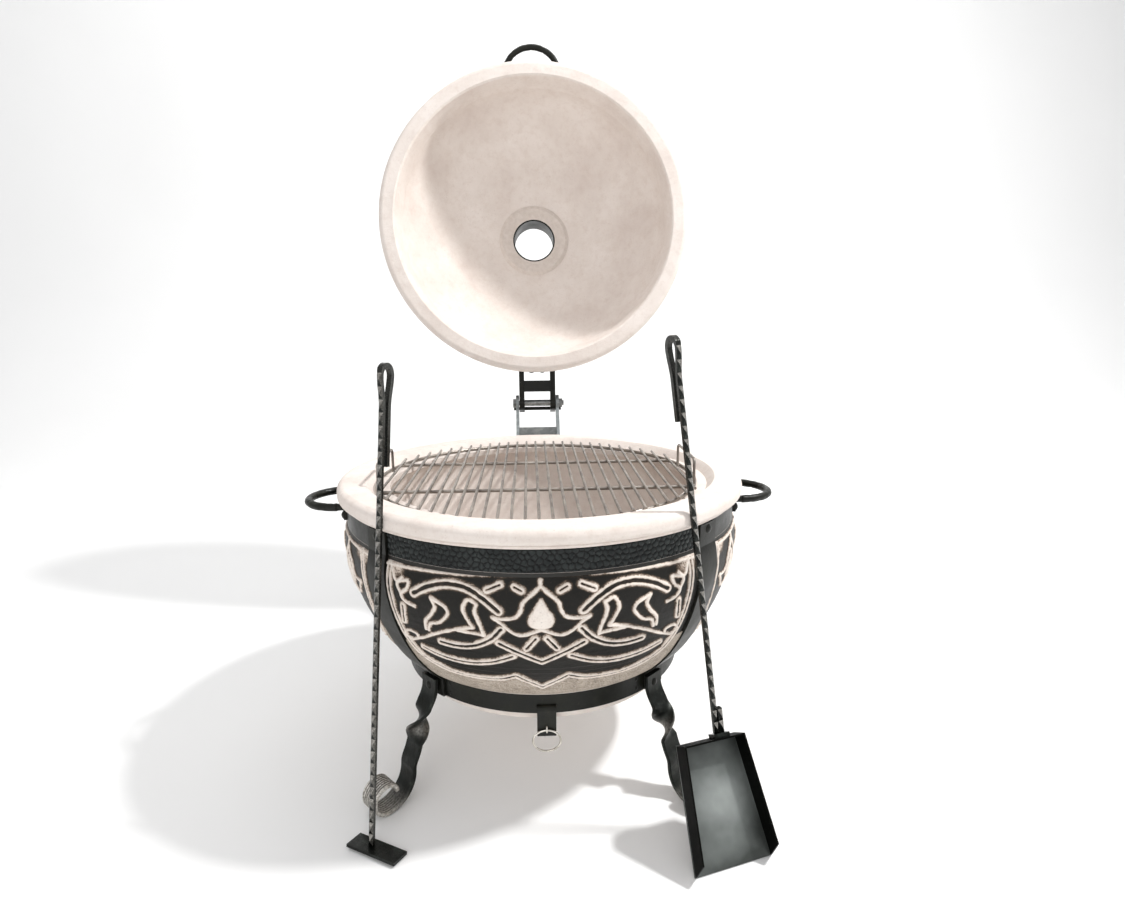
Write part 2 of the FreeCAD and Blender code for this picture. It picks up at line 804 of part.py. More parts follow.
def cover_pivot():
    """Post on the flange with a pin and a cap for the flue cover."""
    foot_z = dome_outline()[-1][1] + FLANGE_T
    seat_z = LID_RIM_Z + COLLAR_TOP
    cap_z = seat_z + COVER_T + 2 * FIT
    outline = [
        (0, foot_z),
        (POST_R, foot_z),
        (POST_R, seat_z),
        (PIVOT_R, seat_z),
        (PIVOT_R, cap_z),
        (POST_R, cap_z),
        (POST_R, cap_z + CAP_T),
        (0, cap_z + CAP_T),
        (0, foot_z),
    ]
    post = turned(lines(outline))
    post.translate(V(0, PIVOT_OFFSET, 0))
    return post


def flue_cover():
    """A round lid with an ear, hanging clear of the flue."""
    z = LID_RIM_Z + COLLAR_TOP + FIT
    pivot = V(0, PIVOT_OFFSET, z)
    centre = V(0, 2 * PIVOT_OFFSET, z)
    disc = Part.makeCylinder(COVER_R, COVER_T, centre)
    ear = Part.makeCylinder(COVER_EAR_R, COVER_T, pivot)
    neck = box(
        (-COVER_EAR_R, COVER_EAR_R),
        (PIVOT_OFFSET, 2 * PIVOT_OFFSET),
        (z, z + COVER_T),
    )
    hole = Part.makeCylinder(PIVOT_R + RUNNING, COVER_T, pivot)
    return disc.fuse([ear, neck]).cut(hole)


def cover_knob():
    foot_z = LID_RIM_Z + COLLAR_TOP + FIT + COVER_T
    centre_z = foot_z + KNOB_NECK + KNOB_R * 0.8
    neck = Part.makeCylinder(KNOB_NECK_R, centre_z - foot_z, V(0, 0, foot_z))
    knob = neck.fuse(Part.makeSphere(KNOB_R, V(0, 0, centre_z)))
    knob.translate(V(0, 2 * PIVOT_OFFSET + KNOB_REACH, 0))
    return knob


def grate_bars():
    bars = []
    for i in range(-GRATE_BARS_EACH_SIDE, GRATE_BARS_EACH_SIDE + 1):
        x = i * GRATE_PITCH
        half = math.sqrt(GRATE_R**2 - x**2)
        start = GRATE_CENTRE + V(x, -half, GRATE_Z)
        bars.append(Part.makeCylinder(GRATE_BAR_R, 2 * half, start, V(0, 1, 0)))
    return bars


def grate_frame():
    z = GRATE_Z - GRATE_BAR_R - GRATE_WIRE_R
    ring = Part.makeTorus(GRATE_RING_R, GRATE_WIRE_R, GRATE_CENTRE + V(0, 0, z))
    reach = math.sqrt((GRATE_RING_R - GRATE_WIRE_R) ** 2 - CROSS_BAR_Y**2)
    whole = ring
    for y in (-CROSS_BAR_Y, CROSS_BAR_Y):
        start = GRATE_CENTRE + V(-reach - GRATE_WIRE_R, y, z)
        whole = whole.fuse(
            Part.makeCylinder(GRATE_WIRE_R, 2 * (reach + GRATE_WIRE_R), start, ACROSS)
        )
    return whole


def grate_loop(way):
    """An upright wire loop welded beside the last bar."""
    x = way * (GRATE_BARS_EACH_SIDE * GRATE_PITCH + 2 * GRATE_BAR_R)
    y0, y1 = LOOP_YS
    low = GRATE_Z
    high = GRATE_Z + LOOP_HEIGHT
    soft = LOOP_BEND_R * (1 - math.sqrt(0.5))
    corners = [
        [V(x, y0, low), V(x, y0, high - LOOP_BEND_R)],
        [V(x, y0 + LOOP_BEND_R, high), V(x, y1 - LOOP_BEND_R, high)],
        [V(x, y1, high - LOOP_BEND_R), V(x, y1, low)],
    ]
    path = [
        Part.makeLine(*corners[0]),
        Part.Arc(corners[0][1], V(x, y0 + soft, high - soft), corners[1][0]).toShape(),
        Part.makeLine(*corners[1]),
        Part.Arc(corners[1][1], V(x, y1 - soft, high - soft), corners[2][0]).toShape(),
        Part.makeLine(*corners[2]),
    ]
    wire = swept(path, circle(corners[0][0], UP, GRATE_BAR_R), ACROSS)
    wire.translate(GRATE_CENTRE)
    return wire


def tab_ways():
    """The ways down along the leaning tab and out of its face."""
    lean = FreeCAD.Rotation(ACROSS, -TAB_LEAN)
    return lean.multVec(V(0, 0, -1)), lean.multVec(V(0, -1, 0))


def tab_point(drop, out):
    """A point at a drop below the bend and a height over the tab's middle plane."""
    down, face_way = tab_ways()
    bend_centre = V(0, TAB_BEND_Y, BLADE_Z - TAB_BEND_R)
    return bend_centre + face_way * (TAB_BEND_R + out) + down * drop


def draft_slide():
    """The blade that shuts the air hole, and its tab in front of the hoop."""
    shoulder_y = -math.sqrt(FOOT_R**2 - (BLADE_W / 2) ** 2) + DRAFT_TRAVEL
    blade = box(
        (-BLADE_W / 2, BLADE_W / 2),
        (shoulder_y, BLADE_BACK_Y),
        (BLADE_Z - BLADE_T / 2, BLADE_Z + BLADE_T / 2),
    )
    face_way = tab_ways()[1]
    start = V(0, shoulder_y, BLADE_Z)
    bend_start = V(0, TAB_BEND_Y, BLADE_Z)
    bend_centre = bend_start - UP * TAB_BEND_R
    bend_middle = bend_centre + (UP + face_way).normalize() * TAB_BEND_R
    path = [
        Part.makeLine(start, bend_start),
        Part.Arc(bend_start, bend_middle, tab_point(0, 0)).toShape(),
        Part.makeLine(tab_point(0, 0), tab_point(TAB_LENGTH, 0)),
    ]
    tab = swept(path, rectangle(start, ACROSS, UP, TAB_W, BLADE_T), ACROSS)
    return blade.fuse(tab)


def tab_staple():
    """A half-round staple on the tab, about whose middle the ring swings."""
    down, face_way = tab_ways()
    half = STAPLE_T / 2
    middle = tab_point(STAPLE_DROP, BLADE_T / 2)
    start = middle - ACROSS * half
    whole = Part.makeCylinder(STAPLE_R, STAPLE_T, start, ACROSS)
    whole = whole.cut(Part.makeCylinder(STAPLE_R - STAPLE_T, STAPLE_T, start, ACROSS))
    in_front = oriented_block(
        middle + face_way * STAPLE_R, (ACROSS, down, face_way), (4 * half, 3 * STAPLE_R, 2 * STAPLE_R)
    )
    return whole.common(in_front)


def pull_ring():
    """A ring that hangs from the staple, flat against the tab."""
    over_face = RING_WIRE_R + FIT
    room = STAPLE_R - STAPLE_T - RING_WIRE_R - FIT
    drop = STAPLE_DROP + math.sqrt(room**2 - over_face**2)
    centre = tab_point(drop + RING_R, BLADE_T / 2 + over_face)
    return Part.makeTorus(RING_R, RING_WIRE_R, centre, tab_ways()[1])


def grip_path(foot, along, across, length, free):
    """The centre line of a shaft whose top is folded over into an eye."""
    along = V(along).normalize()
    across = V(across).normalize()

    def at(side, height):
        return foot + across * side + along * height

    pinch = length - GRIP_EYE
    top_r = GRIP_SPREAD / 2 + GRIP_BULGE
    shoulder = length - top_r
    pinch_points = [at(0, pinch), at(GRIP_SPREAD, pinch)]
    arch = [at(-GRIP_BULGE, shoulder), at(GRIP_SPREAD / 2, length), at(GRIP_SPREAD + GRIP_BULGE, shoulder)]
    return [
        Part.makeLine(foot, pinch_points[0]),
        bend(pinch_points[0], along, arch[0], along),
        Part.Arc(*arch).toShape(),
        bend(arch[2], along * -1, pinch_points[1], along * -1),
        Part.makeLine(pinch_points[1], at(GRIP_SPREAD, length - free)),
    ]


def tool_shaft(foot, along, across, length, free):
    path = grip_path(foot, along, across, length - TOOL_BAR / 2, free)
    face_way = V(along).cross(across)
    return swept(path, rectangle(foot, across, face_way, TOOL_BAR, TOOL_BAR), face_way)


def oriented_block(centre, ways, sizes):
    """A block with its sides along three ways."""
    u, v, w = [V(way).normalize() for way in ways]
    start = centre - w * (sizes[2] / 2)
    face = Part.Face(rectangle(start, u, v, sizes[0], sizes[1]))
    return face.extrude(w * sizes[2])


def lifted(shapes):
    """Shapes moved together so that the lowest point just clears the ground."""
    low = min(shape.BoundBox.ZMin for shape in shapes)
    return [shape.translated(V(0, 0, FLOOR_CLEAR - low)) for shape in shapes]


def square_to(way, along):
    """The part of a way that is square to another one."""
    return (way - along * way.dot(along)).normalize()


def rake():
    along = V(RAKE_ALONG).normalize()
    fold = square_to(RAKE_FOLD, along)
    plate_way = FreeCAD.Rotation(UP, RAKE_PLATE_YAW).multVec(ACROSS)
    plate_way = square_to(plate_way, along)
    wide, deep, thick = RAKE_PLATE
    foot_plate = oriented_block(
        RAKE_FOOT + plate_way * RAKE_PLATE_OFFSET + along * (thick / 2),
        (plate_way, along.cross(plate_way), along),
        (wide, deep, thick),
    )
    shaft = tool_shaft(RAKE_FOOT + along * thick, along, fold, RAKE_LENGTH, GRIP_FREE)
    return lifted([shaft, foot_plate])


def shovel_ways():
    """Across, along and out-of-the-floor ways of the leaning pan."""
    yaw = FreeCAD.Rotation(UP, SHOVEL_YAW)
    across = yaw.multVec(ACROSS)
    lean = FreeCAD.Rotation(across, -SHOVEL_LEAN)
    along = lean.multVec(UP)
    return across, along, across.cross(along)


def pan_block(inset, floor, corner, ways, front):
    """A tray-shaped block, narrower at the back."""
    across, along, out = ways
    half_front = PAN_HALF_FRONT - inset
    half_back = PAN_HALF_BACK - inset
    back = PAN_LENGTH - inset
    corners = []
    for side, reach in ((-half_front, front), (half_front, front), (half_back, back), (-half_back, back)):
        corners.append(corner + across * (PAN_HALF_FRONT + side) + along * reach + out * floor)
    face = Part.Face(Part.makePolygon(corners + corners[:1]))
    return face.extrude(out * (PAN_WALL - floor))


def shovel():
    across, along, out = shovel_ways()
    corner = SHOVEL_CORNER
    ways = (across, along, out)
    pan = pan_block(0.0, 0.0, corner, ways, 0.0).cut(pan_block(PAN_T, PAN_T, corner, ways, -PAN_T))
    middle = corner + across * PAN_HALF_FRONT
    slant = [
        middle - along * PAN_CUT + out * PAN_T,
        middle + out * PAN_T,
        middle + along * PAN_CUT + out * (PAN_WALL + FIT),
        middle - along * PAN_CUT + out * (PAN_WALL + FIT),
    ]
    reach = across * (PAN_HALF_FRONT * 2)
    wedge_face = Part.Face(Part.makePolygon([p - reach for p in slant + slant[:1]]))
    pan = pan.cut(wedge_face.extrude(reach * 2))

    shaft_way = V(SHOVEL_ALONG).normalize()
    fold = square_to(SHOVEL_FOLD, shaft_way)
    side_way = fold.cross(shaft_way)
    seat_side, seat_out = SHAFT_SEAT
    seat = middle + along * (PAN_LENGTH + TANG_T) + across * seat_side + out * seat_out
    sunk = seat - shaft_way * TOOL_BAR
    tang = oriented_block(
        seat - along * (TANG_T / 2) + across * (TOOL_BAR / 2),
        (across, out, along),
        (TANG_W, TANG_DEPTH, TANG_T),
    )
    shaft = tool_shaft(sunk, shaft_way, fold, SHOVEL_LENGTH + TOOL_BAR, SHOVEL_GRIP_FREE).cut([tang, pan])
    shaft = max(shaft.Solids, key=lambda solid: solid.Volume)
    stub = oriented_block(
        sunk + side_way * TOOL_BAR + shaft_way * (STUB_LENGTH / 2),
        (fold, side_way, shaft_way),
        (TOOL_BAR, TOOL_BAR, STUB_LENGTH),
    )
    stub = max(stub.cut([tang, pan]).Solids, key=lambda solid: solid.Volume)
    return lifted([shaft, stub.fuse(tang), pan])


def build():
    band_rivet_z = RIM_Z - BAND_RIVET_DEPTH
    front_straps = STRAP_AZIMUTHS[:2]
    strap_rivets = [rivet(STRAP_R, STRAP_T + BAND_T, azimuth, band_rivet_z) for azimuth in front_straps]
    leg_face_r = LEG_PLATE_S + LEG_T / 2
    leg_shank = leg_face_r - FOOT_R
    leg_rivets = [rivet(leg_face_r, leg_shank, azimuth, LEG_RIVET_Z) for azimuth in LEG_AZIMUTHS]
    studs = []
    for azimuth in STUD_AZIMUTHS:
        for z in STUD_ZS:
            studs.append(rivet(HOOP_R, HOOP_T, azimuth, z, STUD_HEAD_R))
    bracket_rivets = hinge_rivets(STRAP_R + BRACKET_T, (376.5, 393.0))
    arm_rivets = hinge_rivets(STRAP_R + BRACKET_T, (LID_RIM_Z + 33.0, LID_RIM_Z + 50.0))
    grip_rivets = []
    for azimuth in HANDLE_AZIMUTHS.values():
        grip_rivets += handle_rivets(RIM_Z, -1, azimuth, HANDLE_BEND_R)
    lid_grip_rivets = handle_rivets(LID_RIM_Z, 1, 0.0, LID_HANDLE_BEND_R)
    lid_strap_rivets = [
        rivet(STRAP_R, STRAP_T + BAND_T, azimuth, LID_RIM_Z + BAND_RIVET_DEPTH) for azimuth in front_straps
    ]
    base_fixings = strap_rivets + leg_rivets + studs + bracket_rivets + grip_rivets
    lid_fixings = arm_rivets + lid_grip_rivets + lid_strap_rivets

    save("bowl_shell", bowl_shell())
    save("band_front", band(RIM_Z, -1, -45.8, 45.8, base_fixings))
    save("band_left", band(RIM_Z, -1, -179.8, -46.2, base_fixings))
    save("band_right", band(RIM_Z, -1, 46.2, 179.8, base_fixings))
    save("lower_hoop", lower_hoop(base_fixings))
    for name, azimuth, leg_azimuth in zip(("front_left", "front_right", "rear"), STRAP_AZIMUTHS, LEG_AZIMUTHS):
        save("strap_" + name, bowl_strap(azimuth, base_fixings))
        save("leg_" + name, leg(leg_azimuth, base_fixings))
        save("lid_strap_" + name, opened(lid_strap(azimuth, lid_fixings)))
    for name, azimuth in HANDLE_AZIMUTHS.items():
        handle = ring_handle(RIM_Z, -1, azimuth, HANDLE_BEND_R, HANDLE_CENTRE_R, base_fixings)
        save(name, handle)
    save("base_rivets", *base_fixings)
    save("fire_grate", fire_grate())
    save("hinge_bracket", hinge_bracket(base_fixings))
    save("hinge_bolt", hinge_bolt())
    save("hinge_nut", hinge_nut())

    dome = lid_dome()
    save("lid_dome", opened(dome))
    save("lid_band", opened(band(LID_RIM_Z, 1, -180.0, 180.0, lid_fixings)))
    save("flue_collar", opened(flue_collar()))
    save("flue_mortar", opened(flue_mortar(dome)))
    lid_grip = ring_handle(LID_RIM_Z, 1, 0.0, LID_HANDLE_BEND_R, LID_HANDLE_CENTRE_R, lid_fixings)
    save("lid_handle", opened(lid_grip))
    save("lid_arms", opened(lid_arms(lid_fixings)))
    save("lid_rivets", *[opened(fixing) for fixing in lid_fixings])
    save("hinge_spacer", opened(hinge_spacer()))
    save("stop_bar", opened(stop_bar()))
    save("cover_pivot", opened(cover_pivot()))
    save("flue_cover", opened(flue_cover()))
    save("cover_knob", opened(cover_knob()))

    save("grate_bars", *grate_bars())
    save("grate_frame", grate_frame())
    save("grate_loops", grate_loop(-1), grate_loop(1))
    save("draft_slide", draft_slide())
    save("tab_staple", tab_staple())
    save("pull_ring", pull_ring())

    rake_shaft, rake_plate = rake()
    save("rake_shaft", rake_shaft)
    save("rake_plate", rake_plate)
    shovel_shaft, shovel_tang, shovel_pan = shovel()
    save("shovel_shaft", shovel_shaft)
    save("shovel_tang", shovel_tang)
    save("shovel_pan", shovel_pan)


build()
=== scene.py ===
import math

import bpy
import numpy as np
from mathutils import Matrix


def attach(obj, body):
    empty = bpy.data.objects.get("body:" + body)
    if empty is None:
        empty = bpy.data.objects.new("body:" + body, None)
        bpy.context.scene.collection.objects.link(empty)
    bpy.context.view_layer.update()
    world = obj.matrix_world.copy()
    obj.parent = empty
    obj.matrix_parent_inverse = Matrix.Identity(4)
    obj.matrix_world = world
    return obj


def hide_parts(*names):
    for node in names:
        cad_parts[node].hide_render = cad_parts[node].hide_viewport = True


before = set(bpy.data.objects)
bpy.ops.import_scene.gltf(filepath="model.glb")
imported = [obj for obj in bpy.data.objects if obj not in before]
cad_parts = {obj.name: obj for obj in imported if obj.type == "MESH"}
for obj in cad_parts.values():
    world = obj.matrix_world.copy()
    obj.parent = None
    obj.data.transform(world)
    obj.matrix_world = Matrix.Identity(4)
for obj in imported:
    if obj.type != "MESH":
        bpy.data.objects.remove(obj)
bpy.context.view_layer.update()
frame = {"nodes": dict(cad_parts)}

# Kamado grill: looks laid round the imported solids.
# Sizes are millimetres and azimuths are degrees from the front towards +X, as in the solids.
MM = 0.001
UP = np.array([0.0, 0.0, 1.0])

# Bowl and lid. The band's edges are depths below the bowl's rim, and heights over the shut lid's.
RIM_Z = 425.0
LID_RIM_Z = 426.0
LID_PANEL_END = 206.0
BAND_START = 27.0
BAND_END = 56.0
BAND_R = 288.0
BAND_GAP = 0.4
HOOP_TOP_Z = 169.0
HOOP_GAP = 2.0
HINGE = np.array([0.0, 359.0, 478.0])
OPEN_ANGLE = 99.9
STRAP_AZIMUTH = 46.0
STRAP_HALF_W = 19.0
STRAP_HALF_TURN = math.degrees(STRAP_HALF_W / BAND_R)
STRAP_GAP = 0.1
OUTSIDE_SHARE = 0.93

# Where the clay of the solids is glazed: between two heights outside a cone on the bowl, with its
# slope, radius at the ground and largest radius, and outside an ellipsoid on the lid
GLAZE_Z = (174.5, 368.8)
GLAZE_CONE = (0.6, 103.6, 270.0)
LID_GLAZE_SIZES = (275.0, 275.0, 150.0)
LID_GLAZE_CENTRE = np.array([0.0, 0.0, 474.0])

# Relief of the glazed panels
RIDGE_HEIGHT = 2.8
RIDGE_SOFT = 2.4
RIBBON_SOFT = 1.65
RIBBON_SPREAD = 0.8
UNEVEN_SHARE = 0.22
FOOT_REACH = 5.0
FOOT_LEVEL = 0.42
# The halo round each ridge is partly thin glaze, partly painted light on the ridges' flanks
HALO_REACH = 7.0
HALO_CREAM = 0.46
RIBBON_CREAM = 0.14
GROUND = 0.25
EDGE_FADE = 2.2
SKIN_ROOT = 1.6
SKIN_BACK = 2.2
BOWL_BACK_ROWS = 4
LID_BACK_ROWS = 8
PANEL_STEP = 1.0
SIDE_PANEL_STEP = 1.25
LID_PANEL_STEP = 1.5
LID_STRETCH = 1.12
REACH = 11.0

# Cobbles of the hammered band
COBBLE_PITCH = 8.2
COBBLE_ROW_PITCH = COBBLE_PITCH * 0.8
COBBLE_NUDGE = 0.28
COBBLE_LEAST = 0.7
COBBLE_ROUND = 1.6
COBBLE_HEIGHT = 1.9
COBBLE_BASE = 0.1
COBBLE_FALL = 0.75
COBBLE_FLOOR = 0.15
COBBLE_CRACK = 2.8
COBBLE_STEP = 0.75
COBBLE_GAP = 0.2
COBBLE_STRAP_GAP = 0.15

# Legs, drawn in a plane of their own: distance from the axis and height
LEG_AZIMUTHS = {"leg_front_left": -47.5, "leg_front_right": 43.5, "leg_rear": 180.0}
LEG_W = 32.0
LEG_T = 6.0
LEG_EDGE = 1.2
LEG_COLUMNS = 65
LEG_SHARP = 38.0
LEG_PLATE_S = 218.0
LEG_TOP_Z = 166.0
LEG_PLATE_END_Z = 146.0
TWIST_FROM = np.array([232.0, 124.0])
TWIST_TO = np.array([251.0, 70.0])
TWIST_SHARES = (0.04, 0.84)
TWIST_EVEN = 0.6
# Painted highlight on the twist: its strength, its place along the twist and its width
SHEEN = 0.3
SHEEN_AT = 0.62
SHEEN_WIDE = 0.16
SHIN_S = 260.0
SHIN_TOP_Z = 48.0
CURL_R = 42.0
CURL_INNER_R = 20.5
CURL_END_R = 14.0
FLUTES = 8
FLUTE_DEPTH = 1.5
FLUTE_AFTER_SHIN = 8
FLUTE_AFTER_CURL = 6
FLUTE_DARK = (0.22, 0.55)

# Tools
TOOL_BAR = 6.5
RAKE_ALONG = (25.8, 44.0, 413.0)
RAKE_FOLD = (0.35, 0.94, 0.0)
RAKE_LENGTH = 605.0
RAKE_FREE = 122.0
SHOVEL_ALONG = (-0.1186, 0.0588, 0.9906)
SHOVEL_FOLD = (-0.31, 0.95, 0.0)
SHOVEL_LENGTH = 503.0
SHOVEL_FREE = 100.0
STUB_START = 2.0
STUB_LENGTH = 33.0
STUB_PROUD = 0.2
GRIP_EYE = 49.0
GRIP_BULGE = 5.5
GRIP_SPREAD = 12.5
STUD_CELL = 15.8
STUD_PARTS = 6
STUD_PEAK = 1.0
STUD_NOTCH = 2.0
NOTCH_RISE = 0.5
PLAIN_BAR_STEP = 1.1
TOOL_SHARP = 12.0

# Share of painted highlight that a bar's faces show
SIDE_SHINE = 0.05
STUD_SIDE_SHINE = 0.18
STUD_TOP_SHINE = 0.6
END_SHINE = 0.2

# Hammered grips of the half-ring handles
HANDLE_STEP_Z = 33.0
BOWL_GRIP = (50.0, 295.0)
LID_GRIP = (53.0, 285.0)
GRIP_AZIMUTH = 85.0
GRIP_HALF_TURN = 88.0
GRIP_STATIONS = 90
GRIP_SIDES = 24
GRIP_R = 5.75
GRIP_LEAST_R = 5.08
DENTS = 70
DENT_DEPTH = 0.55
DENT_REACH = 2.6
DENT_STATION = 1.9
DENT_TURN = 5.5

# Pan of the shovel
PAN_CORNER = np.array([171.1, -342.5, 0.3])
PAN_OUT = np.array([0.2492, -0.8234, 0.5098])
# Middle of the painted reflection patch on the pan's floor
PAN_MIDDLE = np.array([212.0, -291.2, 63.1])
PAN_FLOOR = (1.5, 3.2)

# Studio, in metres: name, place, target, size and power of each lamp
LAMPS = [
    ("key", (2.0, -0.25, 3.05), (0.0, 0.25, 0.6), 0.28, 100.0),
    ("fill", (-1.2, -3.0, 1.5), (0.0, 0.1, 0.5), 2.4, 22.0),
    ("top", (0.0, -0.4, 3.6), (0.0, 0.1, 0.3), 2.6, 8.0),
    ("wall", (0.0, 1.3, 4.2), (0.0, 3.2, 1.4), 3.0, 46.0),
]
FLOOR_HALF_W = 7.0
FLOOR_FRONT_Y = -4.5
WALL_Y = 3.2
WALL_TOP = 6.0
WALL_CURVE_R = 1.6
WALL_CURVE_STEPS = 12
CAMERA_PLACE = (-0.01397, -1.04323, 0.6687)
CAMERA_FORWARD = (0.04459, 0.97786, -0.20446)
CAMERA_UP = (0.01785, 0.20386, 0.97884)


def unit(way):
    way = np.asarray(way, float)
    return way / np.linalg.norm(way)


def soft_step(low, high, value):
    """0 at low and 1 at high, with soft ends."""
    part = np.clip((value - low) / (high - low), 0.0, 1.0)
    return part * part * (3.0 - 2.0 * part)


def smoothed(path, rounds):
    """Even out a path in place, between its two ends."""
    for _ in range(rounds):
        path[1:-1] = (path[:-2] + 2 * path[1:-1] + path[2:]) / 4


def unit_tangent(path, *stations):
    """Way along a path at each of its points."""
    tangent = np.gradient(path, *stations, axis=0)
    return tangent / np.linalg.norm(tangent, axis=1)[:, None]


def round_bowl(r, azimuth, z):
    """Points at a radius, azimuth and height."""
    angle = np.radians(azimuth)
    return np.stack([r * np.sin(angle), -r * np.cos(angle), z + 0.0 * angle], -1)


def faced(points, azimuth):
    """Turn points drawn along +X so that they stand at an azimuth."""
    angle = math.radians(azimuth)
    s, side, z = np.moveaxis(points, -1, 0)
    x = s * math.sin(angle) + side * math.cos(angle)
    y = -s * math.cos(angle) + side * math.sin(angle)
    return np.stack([x, y, z], -1)


def opened(points, degrees=-OPEN_ANGLE):
    """Turn points of the shut lid to the open pose, or back with the angle turned round."""
    angle = math.radians(degrees)
    c, s = math.cos(angle), math.sin(angle)
    x, y, z = np.moveaxis(points - HINGE, -1, 0)
    return np.stack([x, y * c - z * s, y * s + z * c], -1) + HINGE


def node_points(name):
    """The vertices of a solid's mesh."""
    vertices = frame["nodes"][name].data.vertices
    flat = np.empty(len(vertices) * 3)
    vertices.foreach_get("co", flat)
    return flat.reshape(-1, 3) / MM


def linked(name, data):
    made = bpy.data.objects.new(name, data)
    bpy.context.scene.collection.objects.link(made)
    return made


def smooth_mesh(name, points, faces, material):
    """A smooth object from points in metres."""
    mesh = bpy.data.meshes.new(name)
    mesh.from_pydata(points, [], faces)
    mesh.polygons.foreach_set("use_smooth", [True] * len(mesh.polygons))
    mesh.materials.append(material)
    return linked(name, mesh)


def new_piece(name, points, faces, body, material):
    """A piece of the scene that rides on a body."""
    piece = smooth_mesh(name, (np.asarray(points) * MM).tolist(), faces, material)
    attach(piece, body)
    return piece


def spread(piece, name, values):
    """Keep a value per vertex for a material; vertices without one get 0."""
    kept = np.zeros(len(piece.data.vertices), np.float32)
    kept[: values.size] = values.ravel()
    piece.data.attributes.new(name, "FLOAT", "POINT").data.foreach_set("value", kept)


def grid_faces(rows, columns, wrap=False):
    """Quads between the points of a grid that is stored row by row."""
    across = np.arange(columns - (not wrap))
    row, column = np.meshgrid(np.arange(rows - 1), across, indexing="ij")
    after = (column + 1) % columns
    quads = [row * columns + column, (row + 1) * columns + column]
    quads += [(row + 1) * columns + after, row * columns + after]
    return np.stack(quads, -1).reshape(-1, 4)


def tube(rings):
    """Points and faces of a closed bar from its rings."""
    count, size = rings.shape[:2]
    faces = grid_faces(count, size, wrap=True).tolist()
    faces.append(list(range(size)))
    faces.append(list(range(count * size - 1, (count - 1) * size - 1, -1)))
    return rings.reshape(-1, 3), faces


def skin(front, back):
    """A closed skin from its front grid and a few rows behind it along the same surface."""
    rows, columns = front.shape[:2]
    points = np.vstack([front.reshape(-1, 3), back.reshape(-1, 3)])
    faces = grid_faces(rows, columns).tolist()
    start = rows * columns
    behind = [np.arange(columns)]
    behind += [start + row * columns + np.arange(columns) for row in range(len(back))]
    behind.append((rows - 1) * columns + np.arange(columns))
    for upper, lower in zip(behind, behind[1:]):
        faces += np.stack([upper[:-1], upper[1:], lower[1:], lower[:-1]], -1).tolist()
    for column, way in ((0, 1), (columns - 1, -1)):
        edge = [row * columns + column for row in range(rows)]
        edge += [int(line[column]) for line in behind[-2:0:-1]]
        faces.append(edge[::way])
    return points, faces


def sink_edges(lift):
    """Take the rim of a skin's front grid under the surface that it lies on."""
    lift[[0, -1], :] = -SKIN_ROOT
    lift[:, [0, -1]] = -SKIN_ROOT


def smooth_curve(points, steps=7):
    """More points on a soft curve that goes through the given ones."""
    points = np.asarray(points, float)
    if len(points) < 3:
        return points
    ends = np.vstack([2 * points[0] - points[1], points, 2 * points[-1] - points[-2]])
    found = []
    for before, start, end, after in zip(ends, ends[1:], ends[2:], ends[3:]):
        for t in np.arange(steps) / steps:
            bend = 2 * start + (end - before) * t
            bend = bend + (2 * before - 5 * start + 4 * end - after) * t**2
            bend = bend + (3 * start - before - 3 * end + after) * t**3
            found.append(bend / 2)
    return np.vstack([found, points[-1:]])


def distance_from(curve, across, down):
    """Distance of every place from a curve, or REACH where it is farther."""
    found = np.full(across.shape, REACH)
    for start, end in zip(curve, curve[1:]):
        low = np.minimum(start, end) - REACH
        high = np.maximum(start, end) + REACH
        beside = (across > low[0]) & (across < high[0])
        near = np.nonzero(beside & (down > low[1]) & (down < high[1]))
        x = across[near] - start[0]
        y = down[near] - start[1]
        dx, dy = end - start
        along = np.clip((x * dx + y * dy) / (dx * dx + dy * dy), 0.0, 1.0)
        found[near] = np.minimum(found[near], np.hypot(x - along * dx, y - along * dy))
    return found


def enclosed(outline, across, down):
    """Whether each place lies inside a closed outline."""
    inside = np.zeros(across.shape, bool)
    for start, end in zip(outline, np.roll(outline, -1, axis=0)):
        if start[1] == end[1]:
            continue
        spans = (start[1] > down) != (end[1] > down)
        cross = start[0] + (down - start[1]) / (end[1] - start[1]) * (end[0] - start[0])
        inside ^= spans & (across < cross)
    return inside


# Palmette and scrolls in a traditional manner, right half, as degrees from the panel's middle
# and millimetres down from the band along the clay. A stroke has one ridge, a ribbon has two.
LOTUS = [
    [(0, 10.5), (2.1, 20.5), (4, 30), (4.7, 42), (6, 50), (8.5, 52.5), (11.4, 51)],
    [(11.4, 51), (9.3, 59), (7.4, 69), (4.7, 75.5), (2.2, 71.5), (0, 66.5)],
    [(0, 10.5), (0, 3.5)],
]
DROP = [(0, 27.5), (1.1, 38), (2.6, 50.5), (2.4, 59.5), (1.4, 63), (0, 63.5)]
DROP_LEVEL = 0.96
DROP_CROWN = 0.35
DROP_CROWN_REACH = 6.0
SCROLLS = [
    [(14.9, 34.5), (17, 30.5), (18.4, 43), (17.4, 58), (16.4, 68)],
    [(16.4, 68), (20.6, 73.5), (26.2, 85), (31.5, 99), (36.4, 110.5)],
    [(36.4, 110.5), (39, 106), (37.2, 96), (34.2, 96.5), (34, 104)],
    [(14.9, 34.5), (15.5, 47), (14.5, 64.5), (13.9, 78.5)],
    [(13.9, 78.5), (16.7, 76.5), (20.6, 75.5)],
    [(26.7, 35.5), (23.4, 43), (22.6, 53), (25.2, 67.5), (28.1, 73), (29.2, 84.5)],
    [(26.7, 35.5), (25.9, 46.5), (27.2, 57.5), (29.5, 70.5), (30, 83.5)],
    [(38.4, 10.5), (37.2, 23.5), (33.2, 19.5), (34, 31), (36, 39.5), (35, 48.5), (32.1, 52.5)],
    [(36, 39.5), (37, 27), (35.2, 17.5)],
]
